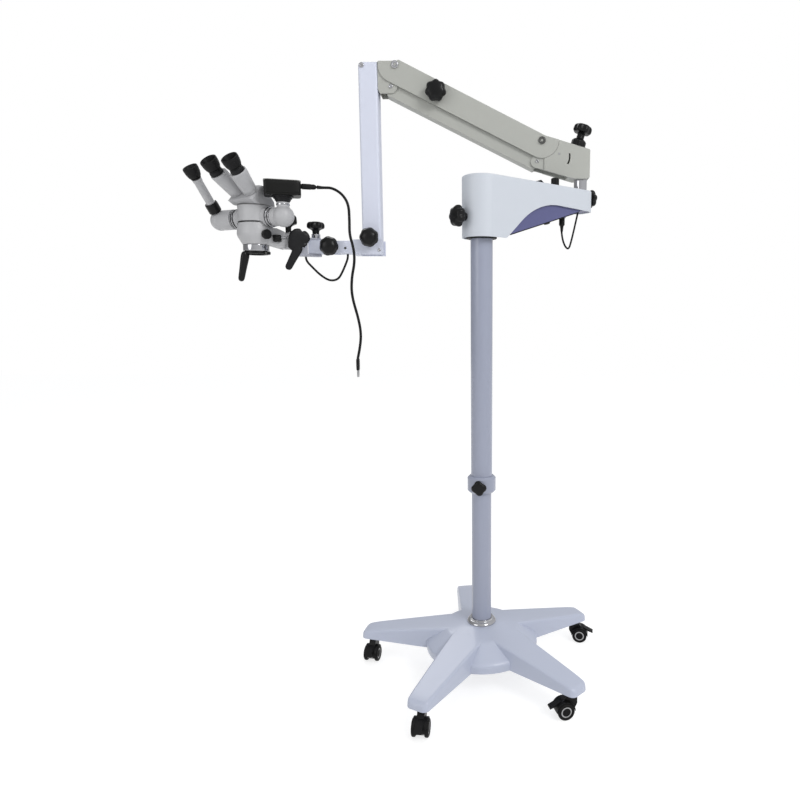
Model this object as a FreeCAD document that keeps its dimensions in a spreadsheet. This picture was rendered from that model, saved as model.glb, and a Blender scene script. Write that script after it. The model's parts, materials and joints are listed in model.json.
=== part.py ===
import FreeCAD, Part
import math
import os
import re
import Sketcher
from FreeCAD import Placement, Rotation, Vector

# A floor-standing surgical microscope, in millimetres. Z is up from the floor, the column stands
# on the origin, +X is towards the post side and the head reaches out along -X.

doc = FreeCAD.newDocument("surgical_microscope")
sheet = doc.addObject("Spreadsheet::Sheet", "Sizes")

dimensions = {
    # running clearances
    "running_gap": 0.08, "seat_gap": 0.3, "plate_gap": 0.6,
    # star base and its casters
    "base_heading": 27.1, "leg_reach": 300, "leg_tip_half": 23, "leg_root_half": 50, "leg_root": 40,
    "leg_tip_top": 78.5, "leg_tip_bottom": 59.5, "leg_chamfer": 4, "hub_top": 119, "hub_flat": 72,
    "skirt_reach": 109, "skirt_top": 74, "skirt_bottom": 50,
    "caster_circle": 275, "caster_trail": 17, "wheel_radius": 19, "wheel_width": 9.5,
    "wheel_spread": 9, "axle_radius": 3, "hood_radius": 21.5, "hood_half": 8.5, "hood_wing": 15.5,
    "stem_radius": 4, "stem_length": 11, "pedal_length": 13, "pedal_width": 16,
    # column
    "ring_radius": 35, "ring_neck": 27.5, "ring_height": 12, "lower_radius": 23.4, "lower_wall": 2,
    "lower_foot": 70, "lower_top": 800, "upper_radius": 25, "upper_top": 1150,
    "collar_foot": 446, "collar_radius": 33.5, "collar_height": 40, "collar_bevel": 5,
    "collar_turn": 262,
    # console on the column
    "console_turn": 36.65, "console_reach": 308, "console_top": 1167.5, "console_bottom": 1034,
    "console_big": 44, "console_small": 28, "console_overhang": 22, "console_corner": 18,
    "console_wall": 3, "console_round": 4, "arch_start": 40, "arch_knee": 85, "arch_rise": 41,
    "arch_radius": 175, "arch_end": 202, "arch_height": 86.3, "arch_drop": 81.6,
    "frame_gap": 2.5, "frame_foot": 56, "frame_low": 10, "frame_end": 286, "frame_high": 81,
    "frame_sheet": 2, "sleeve_radius": 33, "socket_radius": 18.5,
    "gland_place": 247, "gland_level": 1098, "gland_radius": 9, "gland_height": 11,
    "lead_spigot": 3.5, "lead_plug_length": 33,
    "switch_place": 176, "switch_length": 15, "switch_width": 20, "switch_height": 11,
    "switch_depth": 5, "switch_gap": 1, "switch_pin": 1,
    "dial_place": 222, "dial_radius": 9.8, "dial_height": 22, "dial_shaft": 3,
    "console_knob_height": 43.5, "post_knob_height": 118,
    # arm post and rear box
    "post_radius": 16, "post_foot": 1124, "post_top": 1250, "arm_half": 26, "arm_wall": 3,
    "box_top_start": 1294.8, "box_top_x": 157, "box_right": 266, "box_top_end": 1264,
    "box_low": 1197, "box_low_x": 228, "box_foot": 1194, "box_block": 212,
    "lobe_radius": 16, "tongue_half": 18, "boss_radius": 10, "neck_half": 9.5,
    "anchor_along": 34.4, "anchor_down": 37.7, "anchor_radius": 3.5, "slot_radius": 34,
    "slot_width": 4, "box_knob_x": 237, "box_washer": 27.5, "box_hub": 18.5, "box_cap": 23.5,
    # parallel links
    "pivot_x": 147.7, "pivot_up": 1283.7, "link_length": 396.3, "link_angle": 26,
    "pin_back": 11.3, "pin_drop": 47.9, "plate_end": 41, "cheek_half": 22.4, "box_step": 154,
    "link_above": 13.8, "tail_bend": 3.4,
    "tail_along": 35.7, "tail_above": 20.1, "nose_along": 39.8, "nose_below": 9.9,
    "nose_shoulder": 9.1, "roof_cut": 48, "pin_radius": 5, "bolt_head": 8.5, "bolt_height": 2.2,
    "lower_half": 18.5, "lower_above": 8, "lower_below": 21, "lower_skin": 2.5, "lower_end": 12,
    "spring_radius": 7.5, "spring_wire": 2.6, "spring_rod": 225, "spring_coils": 24,
    "spring_below": 18.8, "arm_knob_along": 280, "arm_knob_below": 14,
    # knuckle and drop arm
    "knuckle_top": 1466, "knuckle_foot": 1393, "knuckle_left": -251, "drop_centre": -274.6,
    "drop_half": 23.5, "drop_depth": 24, "drop_wall": 3, "drop_round": 6, "drop_top": 1466,
    "drop_foot": 1014, "drop_corner": 9,
    # lower arm, swivel block and tilt joint
    "elbow_x": -277, "elbow_up": 1051, "elbow_lobe": 13, "channel_top": 1048, "channel_foot": 1011,
    "channel_right": -247.5, "channel_left": -321, "channel_wall": 3, "inner_top": 1045,
    "inner_foot": 1014.5, "inner_half": 25, "wrist_x": -377, "wrist_up": 1030,
    "wrist_lobe": 15.2, "block_half": 17, "block_left": -436, "block_right": -392,
    "block_top": 1047, "block_foot": 1014, "swivel_x": -419.5, "swivel_radius": 7,
    "nut_radius": 10.5, "nut_height": 10,
    # tilt joint
    "yoke_foot": 1007.5, "yoke_top": 1053, "ear_thick": 5.5, "ear_radius": 13, "yoke_start": 96,
    "yoke_end": 121, "yoke_half": 15, "yoke_high": 1065, "spindle_radius": 9,
    "spindle_up": 1043, "disc_start": 88, "disc_thick": 5, "disc_radius": 24,
    "lever_along": 111.3, "lever_radius": 15, "lever_thick": 19, "handle_long": 88, "lever_angle": 113.4,
    "lock_along": 78, "cuff_radius": 20.5, "cuff_start": 66,
    "carrier_half": 20, "carrier_foot": 1020, "carrier_top": 1071,
    # head
    "head_x": -550, "head_y": 120, "head_turn": -23, "joint_level": 1123, "seam_level": 1082.3,
    "body_foot": 1031, "ring_foot": 1014.5, "grip_foot": 1007.5, "body_radius": 43,
    "body_mouth": 31, "body_neck": 40, "body_bore": 22, "splitter_radius": 39,
    "splitter_bore": 18, "port_level": 1094, "port_radius": 22.5, "port_reach": 48, "port_seat": 7,
    "spigot_radius": 15, "ball_neck": 17, "lens_radius": 21,
    "lens_thick": 4, "lens_sag": 1.4, "chrome_radius": 30.5, "grip_ring": 29, "handle_radius": 8.2,
    "handle_length": 66, "handle_lean": 14, "handle_turn": 245,
    "zoom_radius": 11.5, "zoom_height": 9, "zoom_turn": -16, "zoom_level": 1053,
    "camera_reach": 87, "camera_ball": 25, "adapter_level": 1125.5, "adapter_radius": 25,
    "camera_length": 84, "camera_depth": 56, "camera_height": 42, "camera_round": 5,
    "camera_turn": 40, "camera_level": 1140, "neck_radius": 14.6,
    "plug_length": 38, "plug_radius": 7.2, "plug_seat": 6, "plug_level": 1168,
    "side_reach": 108, "side_ball": 24.5, "side_lean": 38, "side_sleeve": 15.5,
    "side_sleeve_length": 24, "side_tube": 10.3, "side_tube_length": 64, "side_cup": 18,
    "side_cup_length": 36,
    "wedge_half": 37, "wedge_front": 36, "wedge_back": 34, "wedge_chin": 51,
    "wedge_ridge": 44, "wedge_ridge_at": 14, "wedge_shoulder": 12, "wedge_round": 7,
    "eye_half": 31, "foot_half": 20, "foot_swing": 14, "foot_slope": 25, "tube_foot": 17,
    "tube_top": 20.5, "tube_length": 60, "eye_collar": 15.5, "eye_collar_length": 7,
    "cup_radius": 20, "cup_length": 33, "cup_bore": 12, "cup_depth": 20,
    # knobs
    "knob_radius": 24, "knob_height": 22, "knob_scallop": 11, "knob_stem": 9, "knob_reach": 14,
    "stud_radius": 4, "stud_length": 9, "swivel_reach": 11, "lock_reach": 18, "lock_height": 26,
    # cords
    "camera_cord": 6.5, "light_cord": 5.5, "console_cord": 4.6, "lead_depth": 112,
}

for row, (name, number) in enumerate(dimensions.items(), start=1):
    sheet.set(f"A{row}", name)
    sheet.set(f"B{row}", str(number))
    sheet.setAlias(f"B{row}", name)
doc.recompute()


def size(name):
    """The number in a cell of the sheet, or of a formula of such names."""
    return float(sheet.evalExpression(tied(name)))


def tied(formula):
    """A formula with the sheet's name put before each of its aliases."""
    return re.sub(r"[a-z]+(?:_[a-z]+)+", lambda found: "Sizes." + found.group(0), str(formula))


def frame(x=0, y=0, z=0, axis=Vector(0, 0, 1), angle=0):
    return Placement(Vector(x, y, z), Rotation(axis, angle))


def towards(x, y, z, direction, spin=0):
    """A frame at a point whose Z axis looks along a direction."""
    look = Rotation(Vector(0, 0, 1), Vector(*direction))
    return Placement(Vector(x, y, z), look * Rotation(Vector(0, 0, 1), spin))


# Sketches and features

def new_body(label):
    return doc.addObject("PartDesign::Body", label)


def new_sketch(body, plane, lift=0):
    sketch = body.newObject("Sketcher::SketchObject", body.Name + "_sketch")
    sketch.AttachmentSupport = [(role_of(body, plane), "")]
    sketch.MapMode = "FlatFace"
    if lift:
        sketch.setExpression(".AttachmentOffset.Base.z", tied(lift))
    return sketch


def role_of(body, role):
    return next(item for item in body.Origin.OriginFeatures if item.Role == role)


def outline(sketch, *corners):
    """A closed loop. A corner is (across, up), reached by a line, or
    (across, up, radius, side), reached by an arc that bulges to that side of its chord."""
    spots = [Vector(size(corner[0]), size(corner[1]), 0) for corner in corners]
    edges = []
    for number, corner in enumerate(corners):
        start, end = spots[number - 1], spots[number]
        if len(corner) == 2:
            edge = sketch.addGeometry(Part.LineSegment(start, end))
            edges.append((edge, 1, 2))
            continue
        radius = size(corner[2])
        chord = end - start
        left = Vector(-chord.y, chord.x, 0).normalize()
        sag = math.sqrt(max(radius ** 2 - (chord.Length / 2) ** 2, 0))
        bulge = -1 if corner[3] == "right" else 1
        centre = (start + end) / 2 - left * sag * bulge
        turns = [math.atan2(spot.y - centre.y, spot.x - centre.x) for spot in (start, end)]
        heads = (1, 2) if bulge < 0 else (2, 1)
        if bulge > 0:
            turns.reverse()
        circle = Part.Circle(centre, Vector(0, 0, 1), radius)
        edge = sketch.addGeometry(Part.ArcOfCircle(circle, turns[0], turns[1]))
        edges.append((edge, *heads))
        if radius * 2 > chord.Length * 1.001:
            mark = sketch.addConstraint(Sketcher.Constraint("Radius", edge, radius))
            sketch.setExpression(f"Constraints[{mark}]", tied(corner[2]))
            continue
        # half a circle is held by its centre, since its two ends already set its radius
        upright = abs(chord.x) < abs(chord.y)
        kind, value = ("DistanceX", centre.x) if upright else ("DistanceY", centre.y)
        ends = [corners[number - 1][0 if upright else 1], corner[0 if upright else 1]]
        mark = sketch.addConstraint(Sketcher.Constraint(kind, -1, 1, edge, 3, value))
        sketch.setExpression(f"Constraints[{mark}]", tied(f"({ends[0]} + ({ends[1]})) / 2"))
    for number, (edge, tail, head) in enumerate(edges):
        after = edges[(number + 1) % len(edges)]
        sketch.addConstraint(Sketcher.Constraint("Coincident", edge, head, after[0], after[1]))
        for kind, value in (("DistanceX", spots[number].x), ("DistanceY", spots[number].y)):
            mark = sketch.addConstraint(Sketcher.Constraint(kind, -1, 1, edge, head, value))
            formula = corners[number][0 if kind == "DistanceX" else 1]
            sketch.setExpression(f"Constraints[{mark}]", tied(formula))
    return sketch


def circle(sketch, across, up, radius):
    centre = Vector(size(across), size(up), 0)
    edge = sketch.addGeometry(Part.Circle(centre, Vector(0, 0, 1), size(radius)))
    for kind, formula in (("DistanceX", across), ("DistanceY", up)):
        mark = sketch.addConstraint(Sketcher.Constraint(kind, -1, 1, edge, 3, size(formula)))
        sketch.setExpression(f"Constraints[{mark}]", tied(formula))
    mark = sketch.addConstraint(Sketcher.Constraint("Radius", edge, size(radius)))
    sketch.setExpression(f"Constraints[{mark}]", tied(radius))
    return sketch


def feature(body, kind, sketch, length=None, both=False, reverse=False):
    item = body.newObject("PartDesign::" + kind, body.Name + "_" + kind.lower())
    item.Profile = sketch
    if both:
        item.SideType = "Symmetric"
    if reverse:
        item.Reversed = True
    if length is None:
        item.Type = "ThroughAll"
    else:
        item.setExpression("Length", tied(length))
    return item


def pad(body, sketch, length, both=False, reverse=False):
    return feature(body, "Pad", sketch, length, both, reverse)


def pocket(body, sketch, length=None, both=False, reverse=False):
    return feature(body, "Pocket", sketch, length, both, reverse)


def spin(body, sketch, kind="Revolution", axis="V_Axis"):
    item = body.newObject("PartDesign::" + kind, body.Name + "_" + kind.lower())
    item.Profile = sketch
    item.ReferenceAxis = (sketch, [axis])
    item.Angle = 360
    return item


def around(body, item, count):
    """Repeats a feature about the body's Z axis."""
    ring = body.newObject("PartDesign::PolarPattern", body.Name + "_ring")
    ring.Originals = [item]
    ring.Axis = (role_of(body, "Z_Axis"), [""])
    ring.Angle = 360
    ring.Occurrences = count
    body.Tip = ring
    return ring


def turned(label, place, *corners):
    """A round piece, from its half section of (radius, height) corners."""
    body = new_body(label)
    spin(body, outline(new_sketch(body, "XZ_Plane"), *corners))
    body.Placement = place
    return body


def soften(body, kind, amount, chosen):
    """Rounds or bevels the edges of the body's last shape that a test picks."""
    doc.recompute()
    base = body.Tip
    names = [f"Edge{number}" for number, edge in enumerate(base.Shape.Edges, start=1) if chosen(edge)]
    item = body.newObject("PartDesign::" + kind, body.Name + "_" + kind.lower())
    item.Base = (base, names)
    item.setExpression("Radius" if kind == "Fillet" else "Size", tied(amount))
    return item


def star_knob(label, place, lobes=7, radius="knob_radius", height="knob_height",
              reach="knob_reach", dome="4", stud="stud_length"):
    """A clamping knob whose stem seats at z = 0, with its stud below and its lobes on top."""
    body = new_body(label)
    top = f"({reach} + {height})"
    spin(body, outline(
        new_sketch(body, "XZ_Plane"),
        ("0", f"0 - ({stud})"), ("stud_radius", f"0 - ({stud})"), ("stud_radius", "0"),
        ("knob_stem", "0"), ("knob_stem + 1", reach), (f"{radius} - 3", f"{reach} + 2"),
        (radius, f"{reach} + 6"), (f"{radius} - 1.5", f"{top} - {dome} - 3"),
        (f"{radius} * 0.55", f"{top} - 1", f"{radius} * 0.9", "right"), ("0", top)))
    notch = new_sketch(body, "XY_Plane", f"{reach} + 0.5")
    bite = f"knob_scallop * {radius} / knob_radius"
    circle(notch, f"{radius} + {bite} * 0.72", "0", bite)
    around(body, pocket(body, notch, f"{height} + 1", reverse=True), lobes)
    body.Placement = place
    return body


def solids(label, *shapes, place=None):
    """Separate solids, or one, worked out directly and kept under one name."""
    item = doc.addObject("Part::Feature", label)
    item.Shape = shapes[0] if len(shapes) == 1 else Part.makeCompound(list(shapes))
    if place:
        item.Placement = place
    return item


# Base: a cast five-legged star with a skirt between the legs

def star_base():
    body = new_body("star_base")
    spin(body, outline(
        new_sketch(body, "XZ_Plane"),
        ("lower_radius + running_gap", "skirt_bottom + 6"),
        ("skirt_reach - 2", "skirt_bottom + 6"), ("skirt_reach - 2", "skirt_bottom"),
        ("skirt_reach + 1", "skirt_bottom"), ("skirt_reach", "skirt_top - 4"),
        ("skirt_reach - 4", "skirt_top"), ("hub_flat", "hub_top - 12"),
        ("hub_flat - 8", "hub_top"), ("lower_radius + running_gap", "hub_top")))
    root = new_sketch(body, "YZ_Plane", "leg_root")
    leg_section(root, "leg_root_half", "hub_top", "hub_top - skirt_bottom - 6")
    tip = new_sketch(body, "YZ_Plane", "leg_reach")
    leg_section(tip, "leg_tip_half", "leg_tip_top", "leg_tip_top - leg_tip_bottom")
    leg = body.newObject("PartDesign::AdditiveLoft", "star_leg")
    leg.Profile = root
    leg.Sections = [tip]
    leg.Ruled = True
    around(body, leg, 5)
    bore = new_sketch(body, "XY_Plane")
    circle(bore, "0", "0", "lower_radius + running_gap")
    pocket(body, bore, reverse=True)
    holes = new_sketch(body, "XY_Plane")
    circle(holes, "caster_circle", "0", "stem_radius + running_gap")
    around(body, pocket(body, holes, "leg_tip_bottom + stem_length + 0.5", reverse=True), 5)
    body.Placement = frame(axis=Vector(0, 0, 1), angle=size("base_heading"))
    return body


def leg_section(sketch, half, top, tall):
    """A leg's cross-section: flat top, bevelled shoulders and drafted sides."""
    foot = f"{top} - ({tall})"
    outline(sketch, (f"0 - {half} - 2", foot), (f"{half} + 2", foot), (half, f"{top} - leg_chamfer"),
            (f"{half} - leg_chamfer", top), (f"0 - {half} + leg_chamfer", top),
            (f"0 - {half}", f"{top} - leg_chamfer"))


def caster(number, heading, trail):
    """A twin-wheel caster: a hooded housing on a stem, and two wheels on one axle."""
    place = frame(size("caster_circle") * math.cos(math.radians(heading)),
                  size("caster_circle") * math.sin(math.radians(heading)), 0, angle=trail)
    body = new_body(f"caster_housing_{number}")
    side = new_sketch(body, "XZ_Plane")
    outline(side, ("caster_trail - hood_radius", "wheel_radius"),
            ("caster_trail - hood_radius * 0.6", "wheel_radius - 9"),
            ("caster_trail + hood_radius * 0.6", "wheel_radius - 9"),
            ("caster_trail + hood_radius", "wheel_radius"),
            ("caster_trail + 4", "wheel_radius + hood_radius", "hood_radius", "right"),
            ("caster_trail - 5", "leg_tip_bottom - 6"), ("0 - 11", "leg_tip_bottom - 6"),
            ("0 - 11", "wheel_radius + 12"))
    pad(body, side, "hood_half * 2 - 1", both=True)
    stem = new_sketch(body, "XY_Plane", "leg_tip_bottom - 8")
    circle(stem, "0", "0", "stem_radius")
    pad(body, stem, "stem_length + 8")
    flange = new_sketch(body, "XY_Plane", "leg_tip_bottom - 6.1")
    circle(flange, "0", "0", "14")
    pad(body, flange, "6.1 - seat_gap * 3")
    wing = new_sketch(body, "XZ_Plane")
    outline(wing, ("caster_trail + hood_radius", "wheel_radius"),
            ("caster_trail", "wheel_radius + hood_radius", "hood_radius", "right"),
            ("caster_trail - hood_radius", "wheel_radius", "hood_radius", "right"),
            ("caster_trail - wheel_radius - 1", "wheel_radius"),
            ("caster_trail", "wheel_radius * 2 + 1", "wheel_radius + 1", "left"),
            ("caster_trail + wheel_radius + 1", "wheel_radius", "wheel_radius + 1", "left"))
    pad(body, wing, "hood_wing * 2", both=True)
    pedal = new_sketch(body, "XZ_Plane")
    outline(pedal, ("caster_trail + 8", "wheel_radius + hood_radius - 5"),
            ("caster_trail + hood_radius + pedal_length", "wheel_radius + 7"),
            ("caster_trail + hood_radius + pedal_length", "wheel_radius + 10"),
            ("caster_trail + 10", "wheel_radius + hood_radius"))
    pad(body, pedal, "pedal_width", both=True)
    axle = new_sketch(body, "XZ_Plane")
    circle(axle, "caster_trail", "wheel_radius", "axle_radius + running_gap")
    pocket(body, axle, both=True)
    body.Placement = place
    wheels = new_body(f"caster_wheels_{number}")
    spin(wheels, outline(
        new_sketch(wheels, "XZ_Plane"),
        ("0", "0 - wheel_spread - wheel_width + 1"), ("5", "0 - wheel_spread - wheel_width + 1"),
        ("6", "0 - wheel_spread - wheel_width + 2.5"), ("12", "0 - wheel_spread - wheel_width + 2.5"),
        ("14", "0 - wheel_spread - wheel_width"), ("wheel_radius - 2", "0 - wheel_spread - wheel_width"),
        ("wheel_radius", "0 - wheel_spread - wheel_width + 2"), ("wheel_radius", "0 - wheel_spread - 2"),
        ("wheel_radius - 2", "0 - wheel_spread"), ("axle_radius", "0 - wheel_spread"),
        ("axle_radius", "wheel_spread"), ("wheel_radius - 2", "wheel_spread"),
        ("wheel_radius", "wheel_spread + 2"), ("wheel_radius", "wheel_spread + wheel_width - 2"),
        ("wheel_radius - 2", "wheel_spread + wheel_width"), ("14", "wheel_spread + wheel_width"),
        ("12", "wheel_spread + wheel_width - 2.5"), ("6", "wheel_spread + wheel_width - 2.5"),
        ("5", "wheel_spread + wheel_width - 1"), ("0", "wheel_spread + wheel_width - 1")))
    axis = Rotation(Vector(1, 0, 0), 90)
    wheels.Placement = place * Placement(Vector(size("caster_trail"), 0, size("wheel_radius")), axis)
    return body, wheels


# Column: a foot ring, two telescoping tubes and a clamping collar

def column():
    turned("column_ring", frame(z=size("hub_top")),
           ("lower_radius + running_gap", "0"), ("ring_radius", "0"),
           ("ring_radius", "2"), ("ring_neck + 1", "ring_height - 4", "9", "right"),
           ("ring_neck", "ring_height"), ("lower_radius + running_gap", "ring_height"))
    turned("lower_column", frame(),
           ("lower_radius - lower_wall", "lower_foot"), ("lower_radius", "lower_foot"),
           ("lower_radius", "lower_top"), ("lower_radius - lower_wall", "lower_top"))
    tube = turned("upper_column", frame(angle=size("collar_turn")),
                  ("lower_radius + running_gap", "collar_foot"),
                  ("collar_radius - collar_bevel", "collar_foot"),
                  ("collar_radius", "collar_foot + collar_bevel"),
                  ("collar_radius", "collar_foot + collar_height - collar_bevel"),
                  ("collar_radius - collar_bevel", "collar_foot + collar_height"),
                  ("upper_radius", "collar_foot + collar_height"),
                  ("upper_radius", "upper_top"), ("lower_radius + running_gap", "upper_top"))
    hole = new_sketch(tube, "YZ_Plane")
    circle(hole, "0", "collar_foot + collar_height / 2", "stud_radius + running_gap")
    pocket(tube, hole, "collar_radius + 2", reverse=True)
    heading = math.radians(size("collar_turn"))
    seat = size("collar_radius") + size("seat_gap")
    star_knob("collar_knob",
              towards(seat * math.cos(heading), seat * math.sin(heading),
                      size("collar_foot + collar_height / 2"),
                      (math.cos(heading), math.sin(heading), 0), 45),
              lobes=4, radius="knob_radius * 0.76", height="13", reach="5", dome="2",
              stud="collar_radius - lower_radius")


# Console: a moulded housing over a steel frame that joins the column to the arm post

console = frame(angle=size("console_turn"))


def plan(sketch, inset="0"):
    """The console's plan: a wide round end on the column, tapering to the post."""
    inset = f"({inset})"
    end = f"console_reach + console_overhang - {inset}"
    return outline(
        sketch,
        ("0", f"0 - console_big + {inset}", f"console_big - {inset}", "right"),
        (f"{end} - console_corner", f"0 - console_small + {inset}"),
        (end, f"0 - console_small + console_corner + {inset}", "console_corner", "right"),
        (end, f"console_small - console_corner - {inset}"),
        (f"{end} - console_corner", f"console_small - {inset}", "console_corner", "right"),
        ("0", f"console_big - {inset}"),
        (f"0 - console_big + {inset}", "0", f"console_big - {inset}", "right"))


def console_shell():
    body = new_body("console_shell")
    pad(body, plan(new_sketch(body, "XY_Plane", "console_bottom")), "console_top - console_bottom")
    top = size("console_top")
    soften(body, "Fillet", "console_round", lambda edge: abs(edge.CenterOfMass.z - top) < 0.01)
    hollow = plan(new_sketch(body, "XY_Plane", "console_bottom"), "console_wall")
    pocket(body, hollow, "console_top - console_bottom - console_wall", reverse=True)
    arch = new_sketch(body, "XZ_Plane")
    outline(arch, ("arch_start", "console_bottom - 5"), ("arch_start", "console_bottom"),
            ("arch_knee", "console_bottom + arch_rise"),
            ("arch_end", "console_bottom + arch_height", "arch_radius", "left"),
            ("console_reach + console_overhang + 5", "console_bottom + arch_drop"),
            ("console_reach + console_overhang + 5", "console_bottom - 5"))
    pocket(body, arch, both=True)
    post = new_sketch(body, "XY_Plane", "console_top - 10")
    circle(post, "console_reach", "0", "post_radius + 0.6")
    pocket(body, post, reverse=True)
    for where, height, flip in (("0", "console_knob_height", True), ("0", "post_knob_height", False)):
        hole = new_sketch(body, "YZ_Plane")
        circle(hole, where, f"console_bottom + {height}", "stud_radius + 1")
        pocket(body, hole, reverse=not flip)
    shaft = new_sketch(body, "XY_Plane", "console_top - 10")
    circle(shaft, "dial_place", "0", "dial_shaft + running_gap")
    pocket(body, shaft, reverse=True)
    opening = new_sketch(body, "XY_Plane", "console_top - 10")
    long, wide = "(switch_length / 2 + switch_gap)", "(switch_width / 2 + seat_gap)"
    outline(opening, (f"switch_place - {long}", f"0 - {wide}"), (f"switch_place + {long}", f"0 - {wide}"),
            (f"switch_place + {long}", wide), (f"switch_place - {long}", wide))
    pocket(body, opening, reverse=True)
    pins = new_sketch(body, "XZ_Plane")
    circle(pins, "switch_place", "console_top - console_wall / 2", "switch_pin + running_gap")
    pocket(body, pins, "switch_width + 7", both=True)
    body.Placement = console
    return body


def console_frame():
    """The sheet-steel box under the housing, with its column sleeve and post socket."""
    body = new_body("console_chassis")
    skin, edge = "frame_sheet", "console_wall + frame_gap"
    walls = plan(new_sketch(body, "XY_Plane", "console_bottom"), edge)
    plan(walls, f"{edge} + {skin}")
    top = "console_top - console_wall"
    pad(body, walls, "console_top - console_bottom - console_wall")
    under = new_sketch(body, "XZ_Plane")
    outline(under, ("0 - 100", "console_bottom - 30"), ("frame_end + 100", "console_bottom - 30"),
            ("frame_end + 100", "console_top + 5"), ("frame_end", "console_top + 5"),
            ("frame_end", "console_bottom + frame_high"),
            ("frame_foot", "console_bottom + frame_low"), ("0", "console_bottom + 12"),
            ("0", "console_top + 5"), ("0 - 100", "console_top + 5"))
    pocket(body, under, both=True)
    tray = new_sketch(body, "XZ_Plane")
    outline(tray, ("0", "console_bottom + 12"), ("frame_foot", "console_bottom + frame_low"),
            ("frame_end", "console_bottom + frame_high"), ("frame_end", top),
            (f"frame_end - {skin}", top), (f"frame_end - {skin}", f"console_bottom + frame_high + {skin}"),
            ("frame_foot", f"console_bottom + frame_low + {skin}"), (skin, f"console_bottom + 12 + {skin}"),
            (skin, top), ("0", top))
    pad(body, tray, "console_big * 2 + 10", both=True)
    trim = new_sketch(body, "XY_Plane", "console_bottom - 20")
    outline(trim, ("0 - 100", "0 - 100"), ("console_reach + 100", "0 - 100"),
            ("console_reach + 100", "100"), ("0 - 100", "100"))
    plan(trim, edge)
    pocket(body, trim, reverse=True)
    sleeve = new_sketch(body, "XY_Plane", "console_bottom + 2")
    circle(sleeve, "0", "0", "sleeve_radius")
    pad(body, sleeve, "console_top - console_bottom - console_wall - 2")
    socket = new_sketch(body, "XY_Plane", "console_top - console_wall")
    circle(socket, "console_reach", "0", "socket_radius")
    pad(body, socket, "console_top - console_wall - post_foot + 6", reverse=True)
    web = new_sketch(body, "XY_Plane", "console_top - console_wall")
    outline(web, ("frame_end - 1", "0 - 9"), ("console_reach - 12", "0 - 9"),
            ("console_reach - 12", "9"), ("frame_end - 1", "9"))
    pad(body, web, "console_top - console_wall - post_foot + 6", reverse=True)
    bore = new_sketch(body, "XY_Plane", "upper_top + seat_gap")
    circle(bore, "0", "0", "upper_radius + running_gap")
    pocket(body, bore)
    post = new_sketch(body, "XY_Plane", "post_foot - seat_gap")
    circle(post, "console_reach", "0", "post_radius + running_gap")
    pocket(body, post, reverse=True)
    for height, flip in (("console_knob_height", True), ("post_knob_height", False)):
        hole = new_sketch(body, "YZ_Plane")
        circle(hole, "0", f"console_bottom + {height}", "stud_radius + running_gap")
        item = pocket(body, hole, None if flip else "console_reach + 60", reverse=not flip)
        if not flip:
            hole.setExpression(".AttachmentOffset.Base.z", tied("console_reach"))
            item.setExpression("Length", tied("console_overhang + 10"))
    gland = new_sketch(body, "XY_Plane", "gland_level")
    circle(gland, "gland_place", "0", "gland_radius")
    pad(body, gland, "gland_height")
    inlet = new_sketch(body, "XY_Plane", "gland_level")
    circle(inlet, "gland_place", "0", "lead_spigot + running_gap")
    pocket(body, inlet, reverse=True)
    body.Placement = console
    return body


def console_fittings():
    switch = new_body("power_switch")
    side = new_sketch(switch, "XZ_Plane")
    half = "switch_length / 2"
    outline(side, (f"0 - {half}", "0 - switch_depth"), (half, "0 - switch_depth"),
            (half, "switch_height * 0.3"), ("0", "switch_height * 0.55"),
            (f"0 - {half}", "switch_height"))
    pad(switch, side, "switch_width", both=True)
    pins = new_sketch(switch, "XZ_Plane")
    circle(pins, "0", "0 - console_wall / 2", "switch_pin")
    pad(switch, pins, "switch_width + 6", both=True)
    top = size("console_top") + size("seat_gap")
    switch.Placement = console * frame(size("switch_place"), 0, size("console_top"))
    dial = turned("brightness_knob", console * frame(size("dial_place"), 0, top),
                  ("0", "0 - dial_shaft * 4"), ("dial_shaft", "0 - dial_shaft * 4"), ("dial_shaft", "0"),
                  ("dial_radius", "0"), ("dial_radius", "dial_height - 2"),
                  ("dial_radius - 2", "dial_height"), ("0", "dial_height"))
    rib = new_sketch(dial, "XY_Plane", "3")
    circle(rib, "dial_radius + 0.4", "0", "1")
    around(dial, pocket(dial, rib, "dial_height", reverse=True), 18)
    back = console * towards(-size("console_big + seat_gap"), 0,
                             size("console_bottom + console_knob_height"), (-1, 0, 0))
    star_knob("console_knob", back, reach="12",
              stud="console_big - upper_radius")
    front = console * towards(size("console_reach + console_overhang + seat_gap"), 0,
                              size("console_bottom + post_knob_height"), (1, 0, 0), 15)
    star_knob("post_knob", front, reach="4", height="19",
              stud="console_overhang - post_radius")
    plug = turned("console_plug", console * frame(size("gland_place"), 0, size("gland_level")),
                  ("0", "8"), ("0", "0 - lead_plug_length"),
                  ("console_cord / 2 + 0.6", "0 - lead_plug_length"),
                  ("console_cord / 2 + 2", "0 - lead_plug_length * 0.6"),
                  ("gland_radius - 2", "0 - lead_plug_length * 0.5"),
                  ("gland_radius - 2", "0 - seat_gap"), ("lead_spigot", "0 - seat_gap"),
                  ("lead_spigot", "8"))
    return plug


# Arm: a post, a rear box, two parallel links, a knuckle and the drop arm

arm_depth = size("console_reach") * math.sin(math.radians(size("console_turn")))
post_across = size("console_reach") * math.cos(math.radians(size("console_turn")))
arm = frame(y=arm_depth)
rise = math.radians(size("link_angle"))
front_x = size("pivot_x") - size("link_length") * math.cos(rise)
front_up = size("pivot_up") + size("link_length") * math.sin(rise)


def link_frame(x, up):
    """Origin at a link's rear pin, X along the link to its front pin, Z to its upper side."""
    return Placement(Vector(x, arm_depth, up), Rotation(Vector(0, 1, 0), size("link_angle"))
                     * Rotation(Vector(0, 0, 1), 180))


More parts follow.
